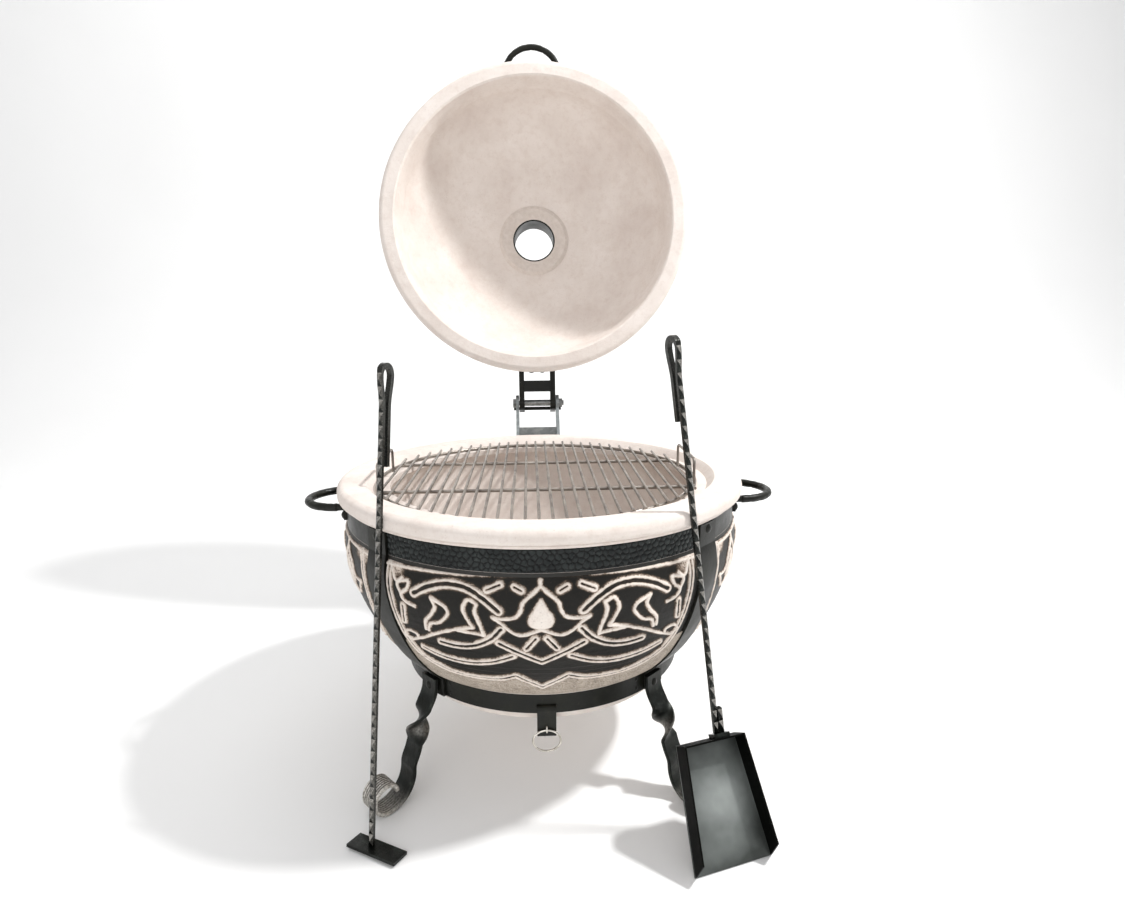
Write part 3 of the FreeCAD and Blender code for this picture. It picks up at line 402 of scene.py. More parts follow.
RIBBONS = [
    (3.3, [(31.8, 34), (27.6, 22), (22.2, 14), (17, 16.5), (12.8, 29), (9.8, 42.5)]),
    (2.7, [(9.5, 67.5), (12.5, 84), (16.9, 96.5), (21.9, 101), (26.4, 99.5)]),
    (2.5, [(10.4, 89), (5.4, 104), (0, 119.5)]),
    (2.2, [(1.4, 80.5), (3.7, 96.5)]),
    (2, [(4.4, 16), (6, 11.5)]),
    (2, [(9.3, 9.5), (12.3, 16.5)]),
    (2.3, [(7.4, 110.5), (13.3, 123.5), (20.1, 129.5), (27.7, 127), (33.6, 119)]),
    (2.1, [(36.2, 56.5), (37.2, 81)]),
]
ORNAMENT_TURN = -1.2
END_LOTUS_AZIMUTH = 49.5
END_LOTUS_SHARE = 0.72

# Border of a panel. The side's first numbers are degrees in from the panel's end.
BORDER_SIDE = [(3.3, 4), (2.7, 28), (2.9, 68), (4, 109), (7, 138), (12.5, 153.5), (19, 160.5)]
BORDER_TAIL = [(18, 161), (12, 158.5), (7.3, 149.5)]
BORDER_POINT = [(7.3, 149.5), (4.1, 161.5), (0, 179)]
BORDER_HALF_W = 3.0
BORDER_SPREAD = 0.6
TOP_RISE = 9.0
TOP_SINK = 4.0
TOP_LEVEL = 0.8
CORNER_W = 34.0
CORNER_H = 26.0
CORNER_DOWN = 4.0
CORNER_FROM = 0.4
CORNER_CREAM = 0.40

# Worn ground below the border
PLAIN_DOWN = 120.0
PLAIN_FROM = 6.0
PLAIN_SOFT = 1.2
PLAIN_LEVEL = 0.5
PLAIN_CREAM = 0.43


class Relief:
    """Height, cream share and worn ground over one panel, built up line by line."""

    def __init__(self, across, down, radius_at, stretch):
        self.across = across
        self.down = down
        self.radius_at = radius_at
        self.stretch = stretch
        self.height = np.zeros(across.shape)
        self.cream = np.zeros(across.shape)
        wave = np.sin(across / 2.6 + 1.9 * np.sin(down / 6.1))
        self.uneven = wave * np.sin(down / 3.1 + 1.6 * np.sin(across / 5.3))

    def placed(self, curve, moved=0.0, mirror=1.0):
        """A curve of the tables in millimetres, moved by degrees and squeezed or mirrored."""
        degrees, drop = smooth_curve(curve).T
        drop = drop * self.stretch
        return np.stack([np.radians(moved + mirror * degrees) * self.radius_at(drop), drop], -1)

    def distance(self, curve):
        return distance_from(curve, self.across, self.down)

    def ridge(self, distance, half_w=0.0, level=1.0):
        """A ridge at a distance of 0, or at a ribbon's half width, with a low foot and a lighter
        halo: thin glaze, partly painted light on the ridge's flanks.
        """
        soft = (RIBBON_SOFT if half_w > 0 else RIDGE_SOFT) * (1.0 + UNEVEN_SHARE * self.uneven)
        ridge = np.exp(-(((distance - half_w) / soft) ** 2))
        foot = FOOT_LEVEL * (1.0 - soft_step(half_w, half_w + FOOT_REACH, distance))
        # Halo: lighter glaze round the ridge, partly thin glaze, partly painted flank light
        halo = HALO_CREAM * (1.0 - soft_step(half_w, half_w + HALO_REACH, distance))
        smear_and_flank_light = np.where(distance < half_w, RIBBON_CREAM, halo)
        np.maximum(self.height, level * np.maximum(ridge, foot), out=self.height)
        np.maximum(self.cream, level * np.maximum(ridge, smear_and_flank_light), out=self.cream)

    def lotus(self, moved, mirror):
        """Half a lotus with its raised drop."""
        for curve in LOTUS:
            self.ridge(self.distance(self.placed(curve, moved, mirror)))
        drop = self.placed(DROP, moved, mirror)
        middle = np.radians(moved) * self.radius_at(drop[::-1, 1])
        outline = np.vstack([drop, np.stack([middle, drop[::-1, 1]], -1)])
        bead = np.where(enclosed(outline, self.across, self.down), 1.0, 0.0)
        edge = self.distance(drop)
        self.ridge(np.where(bead > 0, 0.0, edge), 0.0, DROP_LEVEL)
        self.height += DROP_CROWN * bead * soft_step(0, DROP_CROWN_REACH, edge)

    def border(self, half):
        """Border along the strap and the foot, line under the band, and worn upper corner."""
        half += BORDER_SPREAD
        side = [(half - inset, down) for inset, down in BORDER_SIDE]
        lines = [self.placed(side + BORDER_TAIL), self.placed(BORDER_POINT)]
        away = np.minimum(*[self.distance(line) for line in lines])
        self.ridge(away, BORDER_HALF_W)
        end = lines[0][0][0]
        self.ridge(np.abs(self.down - TOP_RISE * self.across / end + TOP_SINK), 0.0, TOP_LEVEL)
        corner = np.hypot((end - self.across) / CORNER_W, (self.down - CORNER_DOWN) / CORNER_H)
        worn = CORNER_CREAM * (1.0 - soft_step(CORNER_FROM, 1.0, corner))
        self.cream = np.maximum(self.cream, worn)
        self.ground(np.vstack([lines[0], lines[1][1:], [(0.0, 0.0)], [(end, 0.0)]]), away)

    def ground(self, outline, away):
        """Plain worn ground outside the border, below it."""
        lowest = ~enclosed(outline, self.across, self.down) & (self.down > PLAIN_DOWN * self.stretch)
        self.plain = np.where(lowest, soft_step(PLAIN_FROM, PLAIN_FROM + PLAIN_SOFT, away), 0.0)
        self.height = np.maximum(self.height, PLAIN_LEVEL * self.plain)
        self.cream = np.maximum(self.cream, PLAIN_CREAM * self.plain)


def ornament(across, down, radius_at, half, stretch):
    """The whole relief of one panel; wide panels have a second lotus at each end."""
    made = Relief(across, down, radius_at, stretch)
    made.lotus(0.0, 1.0)
    if half > END_LOTUS_AZIMUTH:
        made.lotus(END_LOTUS_AZIMUTH, END_LOTUS_SHARE)
        made.lotus(END_LOTUS_AZIMUTH, -END_LOTUS_SHARE)
    for curve in SCROLLS:
        made.ridge(made.distance(made.placed(curve)))
    for half_w, curve in RIBBONS:
        made.ridge(made.distance(made.placed(curve)), half_w + RIBBON_SPREAD)
    made.border(half)
    return made


def outline_of(points, low, high):
    """Heights and radii of a turned solid's outside, for each millimetre that has points."""
    r = np.hypot(points[:, 0], points[:, 1])
    z = points[:, 2]
    kept = (z >= low - 0.5) & (z <= high + 0.5)
    steps = np.round(z[kept], 0)
    heights = np.unique(steps)
    radii = np.array([r[kept][steps == height].max() for height in heights])
    real = radii > OUTSIDE_SHARE * np.interp(heights, heights[[0, -1]], radii[[0, -1]])
    return heights[real], radii[real]


def bowl_profile():
    """(radius, height) of the bowl's outside from the band down to the hoop."""
    low, high = HOOP_TOP_Z + HOOP_GAP, RIM_Z - BAND_END
    heights, radii = outline_of(node_points("bowl_shell"), low, high)
    kept = heights <= high - BAND_GAP
    return np.stack([radii[kept], heights[kept]], -1)[::-1]


def lid_profile():
    """(radius, height) of the shut lid's outside from the band up."""
    low, high = LID_RIM_Z + BAND_END, LID_RIM_Z + LID_PANEL_END
    points = opened(node_points("lid_dome"), OPEN_ANGLE)
    heights, radii = outline_of(points, low, high)
    kept = heights >= low + BAND_GAP
    return np.stack([radii[kept], heights[kept]], -1)


def surface_lines(profile, slant, down_line):
    """Radius, height and the way out of a turned surface, as rows along its profile."""
    r_line = np.interp(down_line, slant, profile[:, 0])
    z_line = np.interp(down_line, slant, profile[:, 1])
    way = unit_tangent(np.stack([r_line, z_line], -1))
    side = np.sign(z_line[-1] - z_line[0])
    return np.stack([r_line, z_line, side * way[:, 1], -side * way[:, 0]])


def lifted(lines, lift, azimuth):
    """Points lifted off a turned surface."""
    r, z, out_r, out_z = lines[:, :, None]
    return round_bowl(r + lift * out_r, azimuth, z + lift * out_z)


def relief_panel(name, profile, middle, half, step, body, material):
    """A glazed panel; profile gives (radius, height) of its surface from the band outwards."""
    on_lid = body == "lid"
    stretch = LID_STRETCH if on_lid else 1.0
    back_count = LID_BACK_ROWS if on_lid else BOWL_BACK_ROWS
    runs = np.hypot(*np.diff(profile, axis=0).T)
    slant = np.concatenate([[0.0], np.cumsum(runs)])

    def radius_at(down):
        return np.interp(down, slant, profile[:, 0])

    rows = int(slant[-1] / step) + 1
    columns = int(math.radians(2 * half) * profile[:, 0].max() / step) + 1
    down_line = np.linspace(0.0, slant[-1], rows)
    azimuths = np.linspace(-half, half, columns)
    azimuth, down = np.meshgrid(azimuths, down_line)
    across = np.abs(np.radians(azimuth - ORNAMENT_TURN)) * radius_at(down)
    made = ornament(across, down, radius_at, half, stretch)
    lift = (GROUND + RIDGE_HEIGHT * made.height) * soft_step(0, EDGE_FADE, down)
    sink_edges(lift)
    lines = surface_lines(profile, slant, down_line)
    back_rows = np.linspace(0, rows - 1, back_count + 2).astype(int)[1:-1]
    front = lifted(lines, lift, middle + azimuth)
    back = lifted(lines[:, back_rows], -SKIN_BACK, middle + azimuths[None, :])
    if on_lid:
        front, back = opened(front), opened(back)
    points, faces = skin(front, back)
    if lines[1, -1] > lines[1, 0]:
        faces = [face[::-1] for face in faces]
    piece = new_piece(name, points, faces, body, material)
    spread(piece, "glaze", made.cream)
    spread(piece, "plain", made.plain)


def cobble_seeds(reach, low, high):
    """Middle and size of each cobble, in uneven staggered rows."""
    random = np.random.default_rng(7)
    seeds = []
    for row in range(-1, int((high - low) / COBBLE_ROW_PITCH) + 2):
        shift = COBBLE_PITCH / 2 * (row % 2)
        height = low + row * COBBLE_ROW_PITCH
        for x in np.arange(-reach - COBBLE_PITCH, reach + COBBLE_PITCH, COBBLE_PITCH):
            nudge = random.uniform(-COBBLE_NUDGE, COBBLE_NUDGE, 2) * COBBLE_PITCH
            share = random.uniform(COBBLE_LEAST, 1.0)
            seeds.append((x + shift + nudge[0], height + nudge[1], share))
    return seeds


def cobbles(across, z, seeds):
    """Height of the cobbles, and how far each place is from the cracks between them, up to 1."""
    nearest = np.full(across.shape, 1e6)
    second = np.full(across.shape, 1e6)
    size = np.ones(across.shape)
    for x, height, share in seeds:
        distance = np.hypot(across - x, z - height)
        closer = distance < nearest
        second = np.where(closer, nearest, np.minimum(second, distance))
        size = np.where(closer, share, size)
        nearest = np.where(closer, distance, nearest)
    dome = 1.0 - COBBLE_FALL * (nearest / COBBLE_PITCH * COBBLE_ROUND) ** 2
    crack = soft_step(0, COBBLE_CRACK, second - nearest)
    return COBBLE_BASE + COBBLE_HEIGHT * size * np.clip(dome, COBBLE_FLOOR, 1.0) * crack, crack


def hammered_skin(material):
    """Cobbled face of the front band between the straps."""
    half = STRAP_AZIMUTH - STRAP_HALF_TURN - COBBLE_STRAP_GAP
    low, high = RIM_Z - BAND_END + COBBLE_GAP, RIM_Z - BAND_START - COBBLE_GAP
    columns = int(math.radians(2 * half) * BAND_R / COBBLE_STEP) + 1
    rows = int((high - low) / COBBLE_STEP) + 1
    azimuths = np.linspace(-half, half, columns)
    azimuth, z = np.meshgrid(azimuths, np.linspace(high, low, rows))
    seeds = cobble_seeds(math.radians(half) * BAND_R, low, high)
    lift, crack = cobbles(np.radians(azimuth) * BAND_R, z, seeds)
    sink_edges(lift)
    front = round_bowl(BAND_R + lift, azimuth, z)
    back = round_bowl(BAND_R - SKIN_BACK, azimuth[:1], np.full((1, columns), (low + high) / 2))
    points, faces = skin(front, back)
    piece = new_piece("band_cobbles", points, faces, "base", material)
    spread(piece, "dent", crack)


def straight(start, end, count):
    part = np.linspace(0.0, 1.0, count)[:, None]
    return np.asarray(start) * (1 - part) + np.asarray(end) * part


def bend(start, start_way, end, end_way, count):
    """A soft bend between two points that leaves and arrives along given ways."""
    start, end = np.asarray(start, float), np.asarray(end, float)
    reach = np.linalg.norm(end - start)
    t = np.linspace(0.0, 1.0, count)[:, None]
    leave, arrive = unit(start_way) * reach, unit(end_way) * reach
    rise = t**2 * (3 - 2 * t)
    level = start * (1 - rise) + end * rise
    return level + leave * (t * (1 - t) ** 2) + arrive * (t**2 * (t - 1))


def round_turn(centre, r, angle_from, angle_to, count):
    """Points of an arc in a plane, with angles in degrees."""
    angle = np.radians(np.linspace(angle_from, angle_to, count))
    return np.stack([centre[0] + r * np.cos(angle), centre[1] + r * np.sin(angle)], -1)


def joined(runs):
    """Runs of points put end to end without doubled points."""
    return np.vstack([runs[0]] + [run[1:] for run in runs[1:]])


def leg_path():
    """Middle line of a leg from its plate to the tip of its curl, and where each run ends."""
    twist_way = unit(TWIST_TO - TWIST_FROM)
    down = np.array([0.0, -1.0])
    curl_z = CURL_R + LEG_T / 2
    curl_s = SHIN_S + CURL_R
    inner_z = LEG_T / 2 + CURL_INNER_R
    tip_z = inner_z + CURL_INNER_R
    runs = [
        straight((LEG_PLATE_S, LEG_TOP_Z), (LEG_PLATE_S, LEG_PLATE_END_Z), 6),
        bend((LEG_PLATE_S, LEG_PLATE_END_Z), down, TWIST_FROM, twist_way, 8),
        straight(TWIST_FROM, TWIST_TO, 32),
        bend(TWIST_TO, twist_way, (SHIN_S, SHIN_TOP_Z), down, 18),
        straight((SHIN_S, SHIN_TOP_Z), (SHIN_S, curl_z), 6),
        round_turn((curl_s, curl_z), CURL_R, 180.0, 270.0, 24),
        round_turn((curl_s, inner_z), CURL_INNER_R, -90.0, 90.0, 40),
        round_turn((curl_s, tip_z - CURL_END_R), CURL_END_R, 90.0, 180.0, 18),
    ]
    path = joined(runs)
    smoothed(path, 12)
    ends = np.cumsum([len(run) - 1 for run in runs])
    return np.stack([path[:, 0], np.zeros(len(path)), path[:, 1]], -1), ends


def leg_section(fluted, groove, width):
    """Thickness and width of a flat bar's outline, with flutes cut in both faces."""
    face = LEG_T / 2 - FLUTE_DEPTH * fluted * groove
    edge = LEG_T / 2 - LEG_EDGE
    thick = np.concatenate([face, [edge, -edge], -face[::-1], [-edge, edge]])
    end = np.array([LEG_W / 2, LEG_W / 2])
    wide = np.concatenate([width, end, width[::-1], -end])
    return thick[:, None], wide[:, None]


def leg_rings():
    """Rings of a twisted leg, how much light grey each point gets (worn flutes and a painted sheen
    on the twist), and how deep it lies in a flute.
    """
    path, ends = leg_path()
    twist_start, twist_end, shin_end, curl_end = ends[[1, 2, 4, 5]]
    tangent = unit_tangent(path)
    station = np.arange(len(path))
    twisted = (station - twist_start) / (twist_end - twist_start)
    share = np.interp(twisted, TWIST_SHARES, (0.0, 1.0))
    turn = math.pi * (TWIST_EVEN * share + (1.0 - TWIST_EVEN) * soft_step(0, 1.0, share))
    side = np.array([0.0, 1.0, 0.0])
    square = np.cross(tangent, np.broadcast_to(side, path.shape))
    side_way = side * np.cos(turn)[:, None] + square * np.sin(turn)[:, None]
    thick_way = np.cross(side_way, tangent)
    fluted = soft_step(shin_end + FLUTE_AFTER_SHIN, curl_end + FLUTE_AFTER_CURL, station)
    # Painted sheen: light grey across the twist where the highlight falls
    painted_sheen = SHEEN * np.exp(-(((share - SHEEN_AT) / SHEEN_WIDE) ** 2)) * (station < twist_end)

    width = np.linspace(-LEG_W / 2 + LEG_EDGE, LEG_W / 2 - LEG_EDGE, LEG_COLUMNS)
    groove = 1.0 - np.abs(np.sin(np.pi * FLUTES * (width / LEG_W + 0.5)))
    rings = []
    for i, centre in enumerate(path):
        thick, wide = leg_section(fluted[i], groove, width)
        rings.append(centre + thick * thick_way[i] + wide * side_way[i])
    grey_share = np.maximum(fluted[:, None], painted_sheen[:, None]) + np.zeros(len(rings[0]))
    line = soft_step(*FLUTE_DARK, groove)
    sunk = fluted[:, None] * np.concatenate([line, [0.0, 0.0], line[::-1], [0.0, 0.0]])
    return np.array(rings), grey_share, sunk


def leg(name, azimuth, material):
    """A forged leg in place of a packed one."""
    rings, grey_share, sunk = leg_rings()
    points, faces = tube(faced(rings, azimuth))
    piece = new_piece(name + "_forged", points, faces, "base", material)
    piece.data.set_sharp_from_angle(angle=math.radians(LEG_SHARP))
    # The worn attribute holds the worn flutes and the painted sheen on the twist
    spread(piece, "worn", grey_share)
    spread(piece, "sunk", sunk)
    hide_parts(name)


def grip_path(foot, along, fold, length, free):
    """Points along a shaft whose top is folded over into an eye."""

    def at(side, height):
        return foot + fold * side + along * height

    pinch = length - GRIP_EYE
    half = GRIP_SPREAD / 2
    top_r = half + GRIP_BULGE
    shoulder = length - top_r
    turns = np.radians(np.linspace(180.0, 0.0, 17))
    arch = [at(half + top_r * math.cos(turn), shoulder + top_r * math.sin(turn)) for turn in turns]
    free_end = at(GRIP_SPREAD, length - free)
    return joined(
        [
            straight(foot, at(0, pinch), int(pinch / 2)),
            bend(at(0, pinch), along, arch[0], along, 20),
            np.array(arch),
            bend(arch[-1], -along, at(GRIP_SPREAD, pinch), -along, 20),
            straight(at(GRIP_SPREAD, pinch), free_end, int((free - GRIP_EYE) / 2)),
        ]
    )


def bar_line(path, studded_run, studded):
    """Centres along a bar and the way along them: a studded run, then a plain smoothed one."""
    steps = np.linalg.norm(np.diff(path, axis=0), axis=1)
    run = np.concatenate([[0.0], np.cumsum(steps)])
    plain = int((run[-1] - studded_run) / PLAIN_BAR_STEP)
    first = np.linspace(0.0, studded_run, studded + 1)
    rest = np.linspace(studded_run, run[-1], plain + 1)[1:]
    stations = np.concatenate([first, rest])
    centres = np.stack([np.interp(stations, run, path[:, i]) for i in range(3)], -1)
    smoothed(centres[studded:], 6)
    return centres, unit_tangent(centres, stations)


def bar_sides(count, studded):
    """Faces between a square bar's rings of four; the studded run is left open on one side."""
    faces = []
    for i in range(count - 1):
        low, high = 4 * i, 4 * i + 4
        sides = ((0, 1), (1, 2), (3, 0)) if i < studded else ((0, 1), (1, 2), (2, 3), (3, 0))
        faces += [[low + a, high + a, high + b, low + b] for a, b in sides]
    return faces


def stud(first, apex, side_shine):
    """Faces of a pyramid over the rings from first on, and the painted highlight that each shows."""
    last = first + STUD_PARTS
    faces = []
    for i in range(first, last):
        faces += [[4 * i + 2, 4 * i + 6, apex], [4 * i + 7, 4 * i + 3, apex]]
    faces += [[4 * last + 2, 4 * last + 3, apex], [4 * first + 3, 4 * first + 2, apex]]
    return faces, side_shine * STUD_PARTS + [STUD_TOP_SHINE, 0.0]


def bar_rings(centres, side_way, out, studded):
    """Four corners round each centre; the studded run is cut back under its pyramids."""
    half = TOOL_BAR / 2
    past = np.maximum(np.arange(len(centres)) - studded, 0)
    face = np.minimum(half, half - STUD_NOTCH + past * NOTCH_RISE)[:, None]
    low, high = centres - side_way * half, centres + side_way * half
    return np.stack([low - out * half, high - out * half, high + out * face, low + out * face], 1)


def studded_bar(name, path, fold, side_way, studded_run, material, body):
    """A square bar with a row of pyramids on the face that looks away from the fold."""
    cells = int(round(studded_run / STUD_CELL))
    studded = cells * STUD_PARTS
    centres, tangent = bar_line(path, studded_run, studded)
    out = np.cross(tangent, side_way)
    if np.dot(out[0], fold) > 0:
        out = -out
    points = bar_rings(centres, side_way, out, studded).reshape(-1, 3).tolist()
    sides = bar_sides(len(centres), studded)
    faces = [[0, 1, 2, 3]] + sides
    shine = [0.0] + [SIDE_SHINE] * len(sides)
    # Painted highlight: the pyramids' top facets and one side facet, chosen by which way the bar's
    # side faces, are lighter; bottom facets stay dark
    side_shine = [0.0, STUD_SIDE_SHINE] if side_way[0] < 0 else [STUD_SIDE_SHINE, 0.0]
    for first in range(0, studded, STUD_PARTS):
        middle = first + STUD_PARTS // 2
        made, shown = stud(first, len(points), side_shine)
        points.append(centres[middle] + out[middle] * (TOOL_BAR / 2 + STUD_PEAK))
        faces += made
        shine += shown
    last = 4 * (len(centres) - 1)
    faces.append([last + 3, last + 2, last + 1, last])
    shine.append(END_SHINE)
    if np.dot(np.cross(tangent[0], out[0]), side_way) > 0:
        faces = [face[::-1] for face in faces]
    piece = new_piece(name, np.array(points), faces, body, material)
    piece.data.attributes.new("painted_facet_shine", "FLOAT", "FACE").data.foreach_set("value", shine)
    piece.data.set_sharp_from_angle(angle=math.radians(TOOL_SHARP))
    return piece


def shaft_foot(name, along):
    """Where a packed shaft's centre line starts."""
    points = np.unique(np.round(node_points(name), 3), axis=0)
    height = points @ along
    return points[height < height.min() + 1.2 * TOOL_BAR].mean(axis=0)


def tool(name, along, fold, length, free, material):
    """A studded shaft in place of a packed one; gives its foot and its three ways."""
    along = unit(along)
    fold = unit(fold - along * np.dot(fold, along))
    foot = shaft_foot(name, along)
    side_way = np.cross(along, fold)
    path = grip_path(foot, along, fold, length - TOOL_BAR / 2, free)
    shoulder = length - GRIP_SPREAD
    body = name.split("_")[0]
    piece = studded_bar(name + "_studded", path, fold, side_way, shoulder, material, body)
    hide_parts(name)
    return foot, along, fold, side_way


def add_tools(material):
    """Both shafts, and the short studded bar beside the shovel's foot."""
    tool("rake_shaft", RAKE_ALONG, RAKE_FOLD, RAKE_LENGTH, RAKE_FREE, material)
    foot, along, fold, side_way = tool(
        "shovel_shaft", SHOVEL_ALONG, SHOVEL_FOLD, SHOVEL_LENGTH, SHOVEL_FREE, material
    )
    beside = foot + side_way * (TOOL_BAR * np.sign(side_way[0])) - fold * (STUD_NOTCH + STUB_PROUD)
    stub = straight(beside + along * STUB_START, beside + along * STUB_LENGTH, 20)
    run = STUB_LENGTH - STUB_START
    studded_bar("stub_studs", stub, fold, side_way, run, material, "shovel")


def grip_sleeve(name, z, azimuth, sizes, body, material):
    """Hammered surface of a half-ring handle's bar, a skin over the plain one."""
    bend_r, centre_r = sizes
    arc = round_turn((centre_r, 0.0), bend_r, GRIP_HALF_TURN, -GRIP_HALF_TURN, GRIP_STATIONS)
    path = np.stack([arc[:, 0], arc[:, 1], np.full(len(arc), z)], -1)
    normal = np.cross(unit_tangent(path), UP)
    random = np.random.default_rng(11)
    turn_ends = (0, 2 * math.pi)
    dents = [(random.uniform(0, len(path)), random.uniform(*turn_ends)) for _ in range(DENTS)]
    angles = np.linspace(0.0, 2 * math.pi, GRIP_SIDES, endpoint=False)
    rings = []
    for i, centre in enumerate(path):
        r = np.full(len(angles), GRIP_R)
        for station, angle in dents:
            turn = (angles - angle + math.pi) % (2 * math.pi) - math.pi
            distance = np.hypot((i - station) * DENT_STATION, turn * DENT_TURN)
            r -= DENT_DEPTH * np.exp(-((distance / DENT_REACH) ** 2))
        r = np.maximum(r, GRIP_LEAST_R)
        level, upward = (np.cos(angles) * r)[:, None], (np.sin(angles) * r)[:, None]
        rings.append(centre + level * normal[i] + upward * UP)
    turned = faced(np.array(rings), azimuth)
    points, faces = tube(opened(turned) if body == "lid" else turned)
    new_piece(name, points, faces, body, material)


# Materials


def colour(code):
    """A linear colour from a web colour code."""
    parts = [int(code[i : i + 2], 16) / 255 for i in (0, 2, 4)]
    linear = [part / 12.92 if part <= 0.04045 else ((part + 0.055) / 1.055) ** 2.4 for part in parts]
    return linear + [1.0]


class Look:
    """A material with short calls for the nodes that it uses."""

    def __init__(self, name, roughness, metallic=0.0, specular=0.5):
        self.material = bpy.data.materials.new(name)
        self.material.use_nodes = True
        self.tree = self.material.node_tree
        self.shader = self.tree.nodes["Principled BSDF"]
        values = {"Roughness": roughness, "Metallic": metallic, "Specular IOR Level": specular}
        self.set(self.shader, values)
        self.where = self.add("TexCoord").outputs["Object"]

    def add(self, kind, **settings):
        made = self.tree.nodes.new("ShaderNode" + kind)
        for name, value in settings.items():
            setattr(made, name, value)
        return made

    def set(self, made, values):
        """Give a node's inputs a link, a colour code or a plain value; gives its first output."""
        for name, value in values.items():
            if isinstance(value, bpy.types.NodeSocket):
                self.tree.links.new(value, made.inputs[name])
            else:
                shade = isinstance(value, str)
                made.inputs[name].default_value = colour(value) if shade else value
        return made.outputs[0]

    def noise(self, size, detail=4.0, rough=0.55, stretch=(1.0, 1.0, 1.0)):
        """Noise whose lumps are about size millimetres wide."""
        place = self.set(self.add("Mapping"), {"Vector": self.where, "Scale": stretch})
        values = {"Vector": place, "Scale": 1 / (size * MM), "Detail": detail, "Roughness": rough}
        return self.set(self.add("TexNoise"), values)

    def cells(self, size):
        """Outputs of cells that are about size millimetres wide."""
        made = self.add("TexVoronoi")
        self.set(made, {"Vector": self.where, "Scale": 1 / (size * MM)})
        return made.outputs

    def attribute(self, name):
        return self.add("Attribute", attribute_name=name).outputs["Fac"]

    def parts(self, vector):
        """The three numbers of a vector."""
        made = self.add("SeparateXYZ")
        self.set(made, {0: vector})
        return made.outputs

    def math(self, operation, *values):
        return self.set(self.add("Math", operation=operation), dict(enumerate(values)))

    def times(self, first, second):
        return self.math("MULTIPLY", first, second)

    def scaled(self, value, factor, plus):
        return self.math("MULTIPLY_ADD", value, factor, plus)

    def vector(self, operation, first, second):
        made = self.add("VectorMath", operation=operation)
        self.set(made, {0: first, 1: second})
        return made.outputs

    def ramp(self, factor, stops):
        """Colours or greys along a factor, with stops given as (place, colour code or grey)."""
        made = self.add("ValToRGB")
        elements = made.color_ramp.elements
        while len(elements) < len(stops):
            elements.new(0.5)
        for element, (place, shade) in zip(elements, stops):
            element.position = place
            element.color = colour(shade) if isinstance(shade, str) else [shade] * 3 + [1.0]
        return self.set(made, {"Fac": factor})

    def mask(self, factor, low, high):
        """0 up to low and 1 from high on."""
        return self.ramp(factor, [(low, 0.0), (high, 1.0)])

    def mix(self, factor, first, second):
        made = self.add("Mix", data_type="RGBA")
        self.set(made, {0: factor, 6: first, 7: second})
        return made.outputs[2]

    def tint(self, base, mask, share, shade):
        """The base with a share of another colour where the mask is 1."""
        return self.mix(self.times(mask, share), base, shade)

    def bumps(self, *layers):
        """Bump layers, each a height and how deep it is in millimetres."""
        normal = None
        for height, depth in layers:
            values = {"Height": height, "Distance": depth * MM, "Strength": 1.0}
            if normal is not None:
                values["Normal"] = normal
            normal = self.set(self.add("Bump"), values)
        self.set(self.shader, {"Normal": normal})

    def paint(self, base, roughness=None):
        self.set(self.shader, {"Base Color": base})
        if roughness is not None:
            self.set(self.shader, {"Roughness": roughness})


def bowl_outside(look):
    """1 on the bowl's glazed outside between the hoop and the band, 0 elsewhere."""
    x, y, z = look.parts(look.where)
    slope, foot_r, most_r = GLAZE_CONE
    r = look.math("SQRT", look.math("ADD", look.times(x, x), look.times(y, y)))
    cone = look.math("MINIMUM", look.scaled(z, slope, foot_r * MM), most_r * MM)
    outer = look.math("GREATER_THAN", r, cone)
    above = look.math("GREATER_THAN", z, GLAZE_Z[0] * MM)
    return look.times(outer, look.times(above, look.math("LESS_THAN", z, GLAZE_Z[1] * MM)))


def lid_outside(look):
    """1 on the lid's glazed outside beyond its band, 0 elsewhere."""
    moved = look.vector("SUBTRACT", look.where, HINGE * MM)[0]
    rotation = (math.radians(OPEN_ANGLE), 0.0, 0.0)
    turned = look.set(look.add("Mapping"), {"Vector": moved, "Rotation": rotation})
    places = look.parts(turned)
    squares = []
    for place, middle, size in zip(places, HINGE - LID_GLAZE_CENTRE, LID_GLAZE_SIZES):
        share = look.math("DIVIDE", look.math("ADD", place, middle * MM), size * MM)
        squares.append(look.times(share, share))
    far = look.math("ADD", look.math("ADD", squares[0], squares[1]), squares[2])
    beyond = look.math("GREATER_THAN", places[2], (LID_RIM_Z + BAND_END - HINGE[2]) * MM)
    return look.times(look.math("GREATER_THAN", far, 1.0), beyond)


def fired_clay(name, outside):
    """Bare cream clay with trowel marks, pits and faint stains, and dark glaze on its outside."""
    look = Look(name, 0.9)
    grain = look.noise(2, 6, 0.65)
    shades = [(0.3, "d8ccc4"), (0.5, "e1d7cf"), (0.7, "e8dfd8")]
    body = look.ramp(look.noise(85, 5, 0.6), shades)
    body = look.tint(body, look.mask(look.noise(14, 6, 0.7), 0.48, 0.7), 0.3, "c9b7ab")
    body = look.tint(body, look.mask(look.noise(3.2, 3, 0.7), 0.6, 0.72), 0.28, "b3a093")
    pit = look.ramp(look.cells(6.5)["Distance"], [(0.0, 1.0), (0.12, 0.0)])
    pit = look.times(pit, look.mask(look.noise(26, 2), 0.52, 0.62))
    body = look.tint(body, pit, 0.5, "8a7161")
    glazed = outside(look)
    rough = look.ramp(grain, [(0.3, 0.8), (0.7, 0.97)])
    rough = look.times(rough, look.scaled(glazed, -0.45, 1.0))
    look.paint(look.mix(glazed, body, "1d1b15"), rough)
    trowel = look.noise(9.0, 3.0, 0.5, (0.25, 1.0, 1.0))
    hollow = look.times(pit, -1.0)
    look.bumps((look.noise(22, 3, 0.5), 1.3), (trowel, 0.5), (grain, 0.4), (hollow, 0.9))
    return look.material


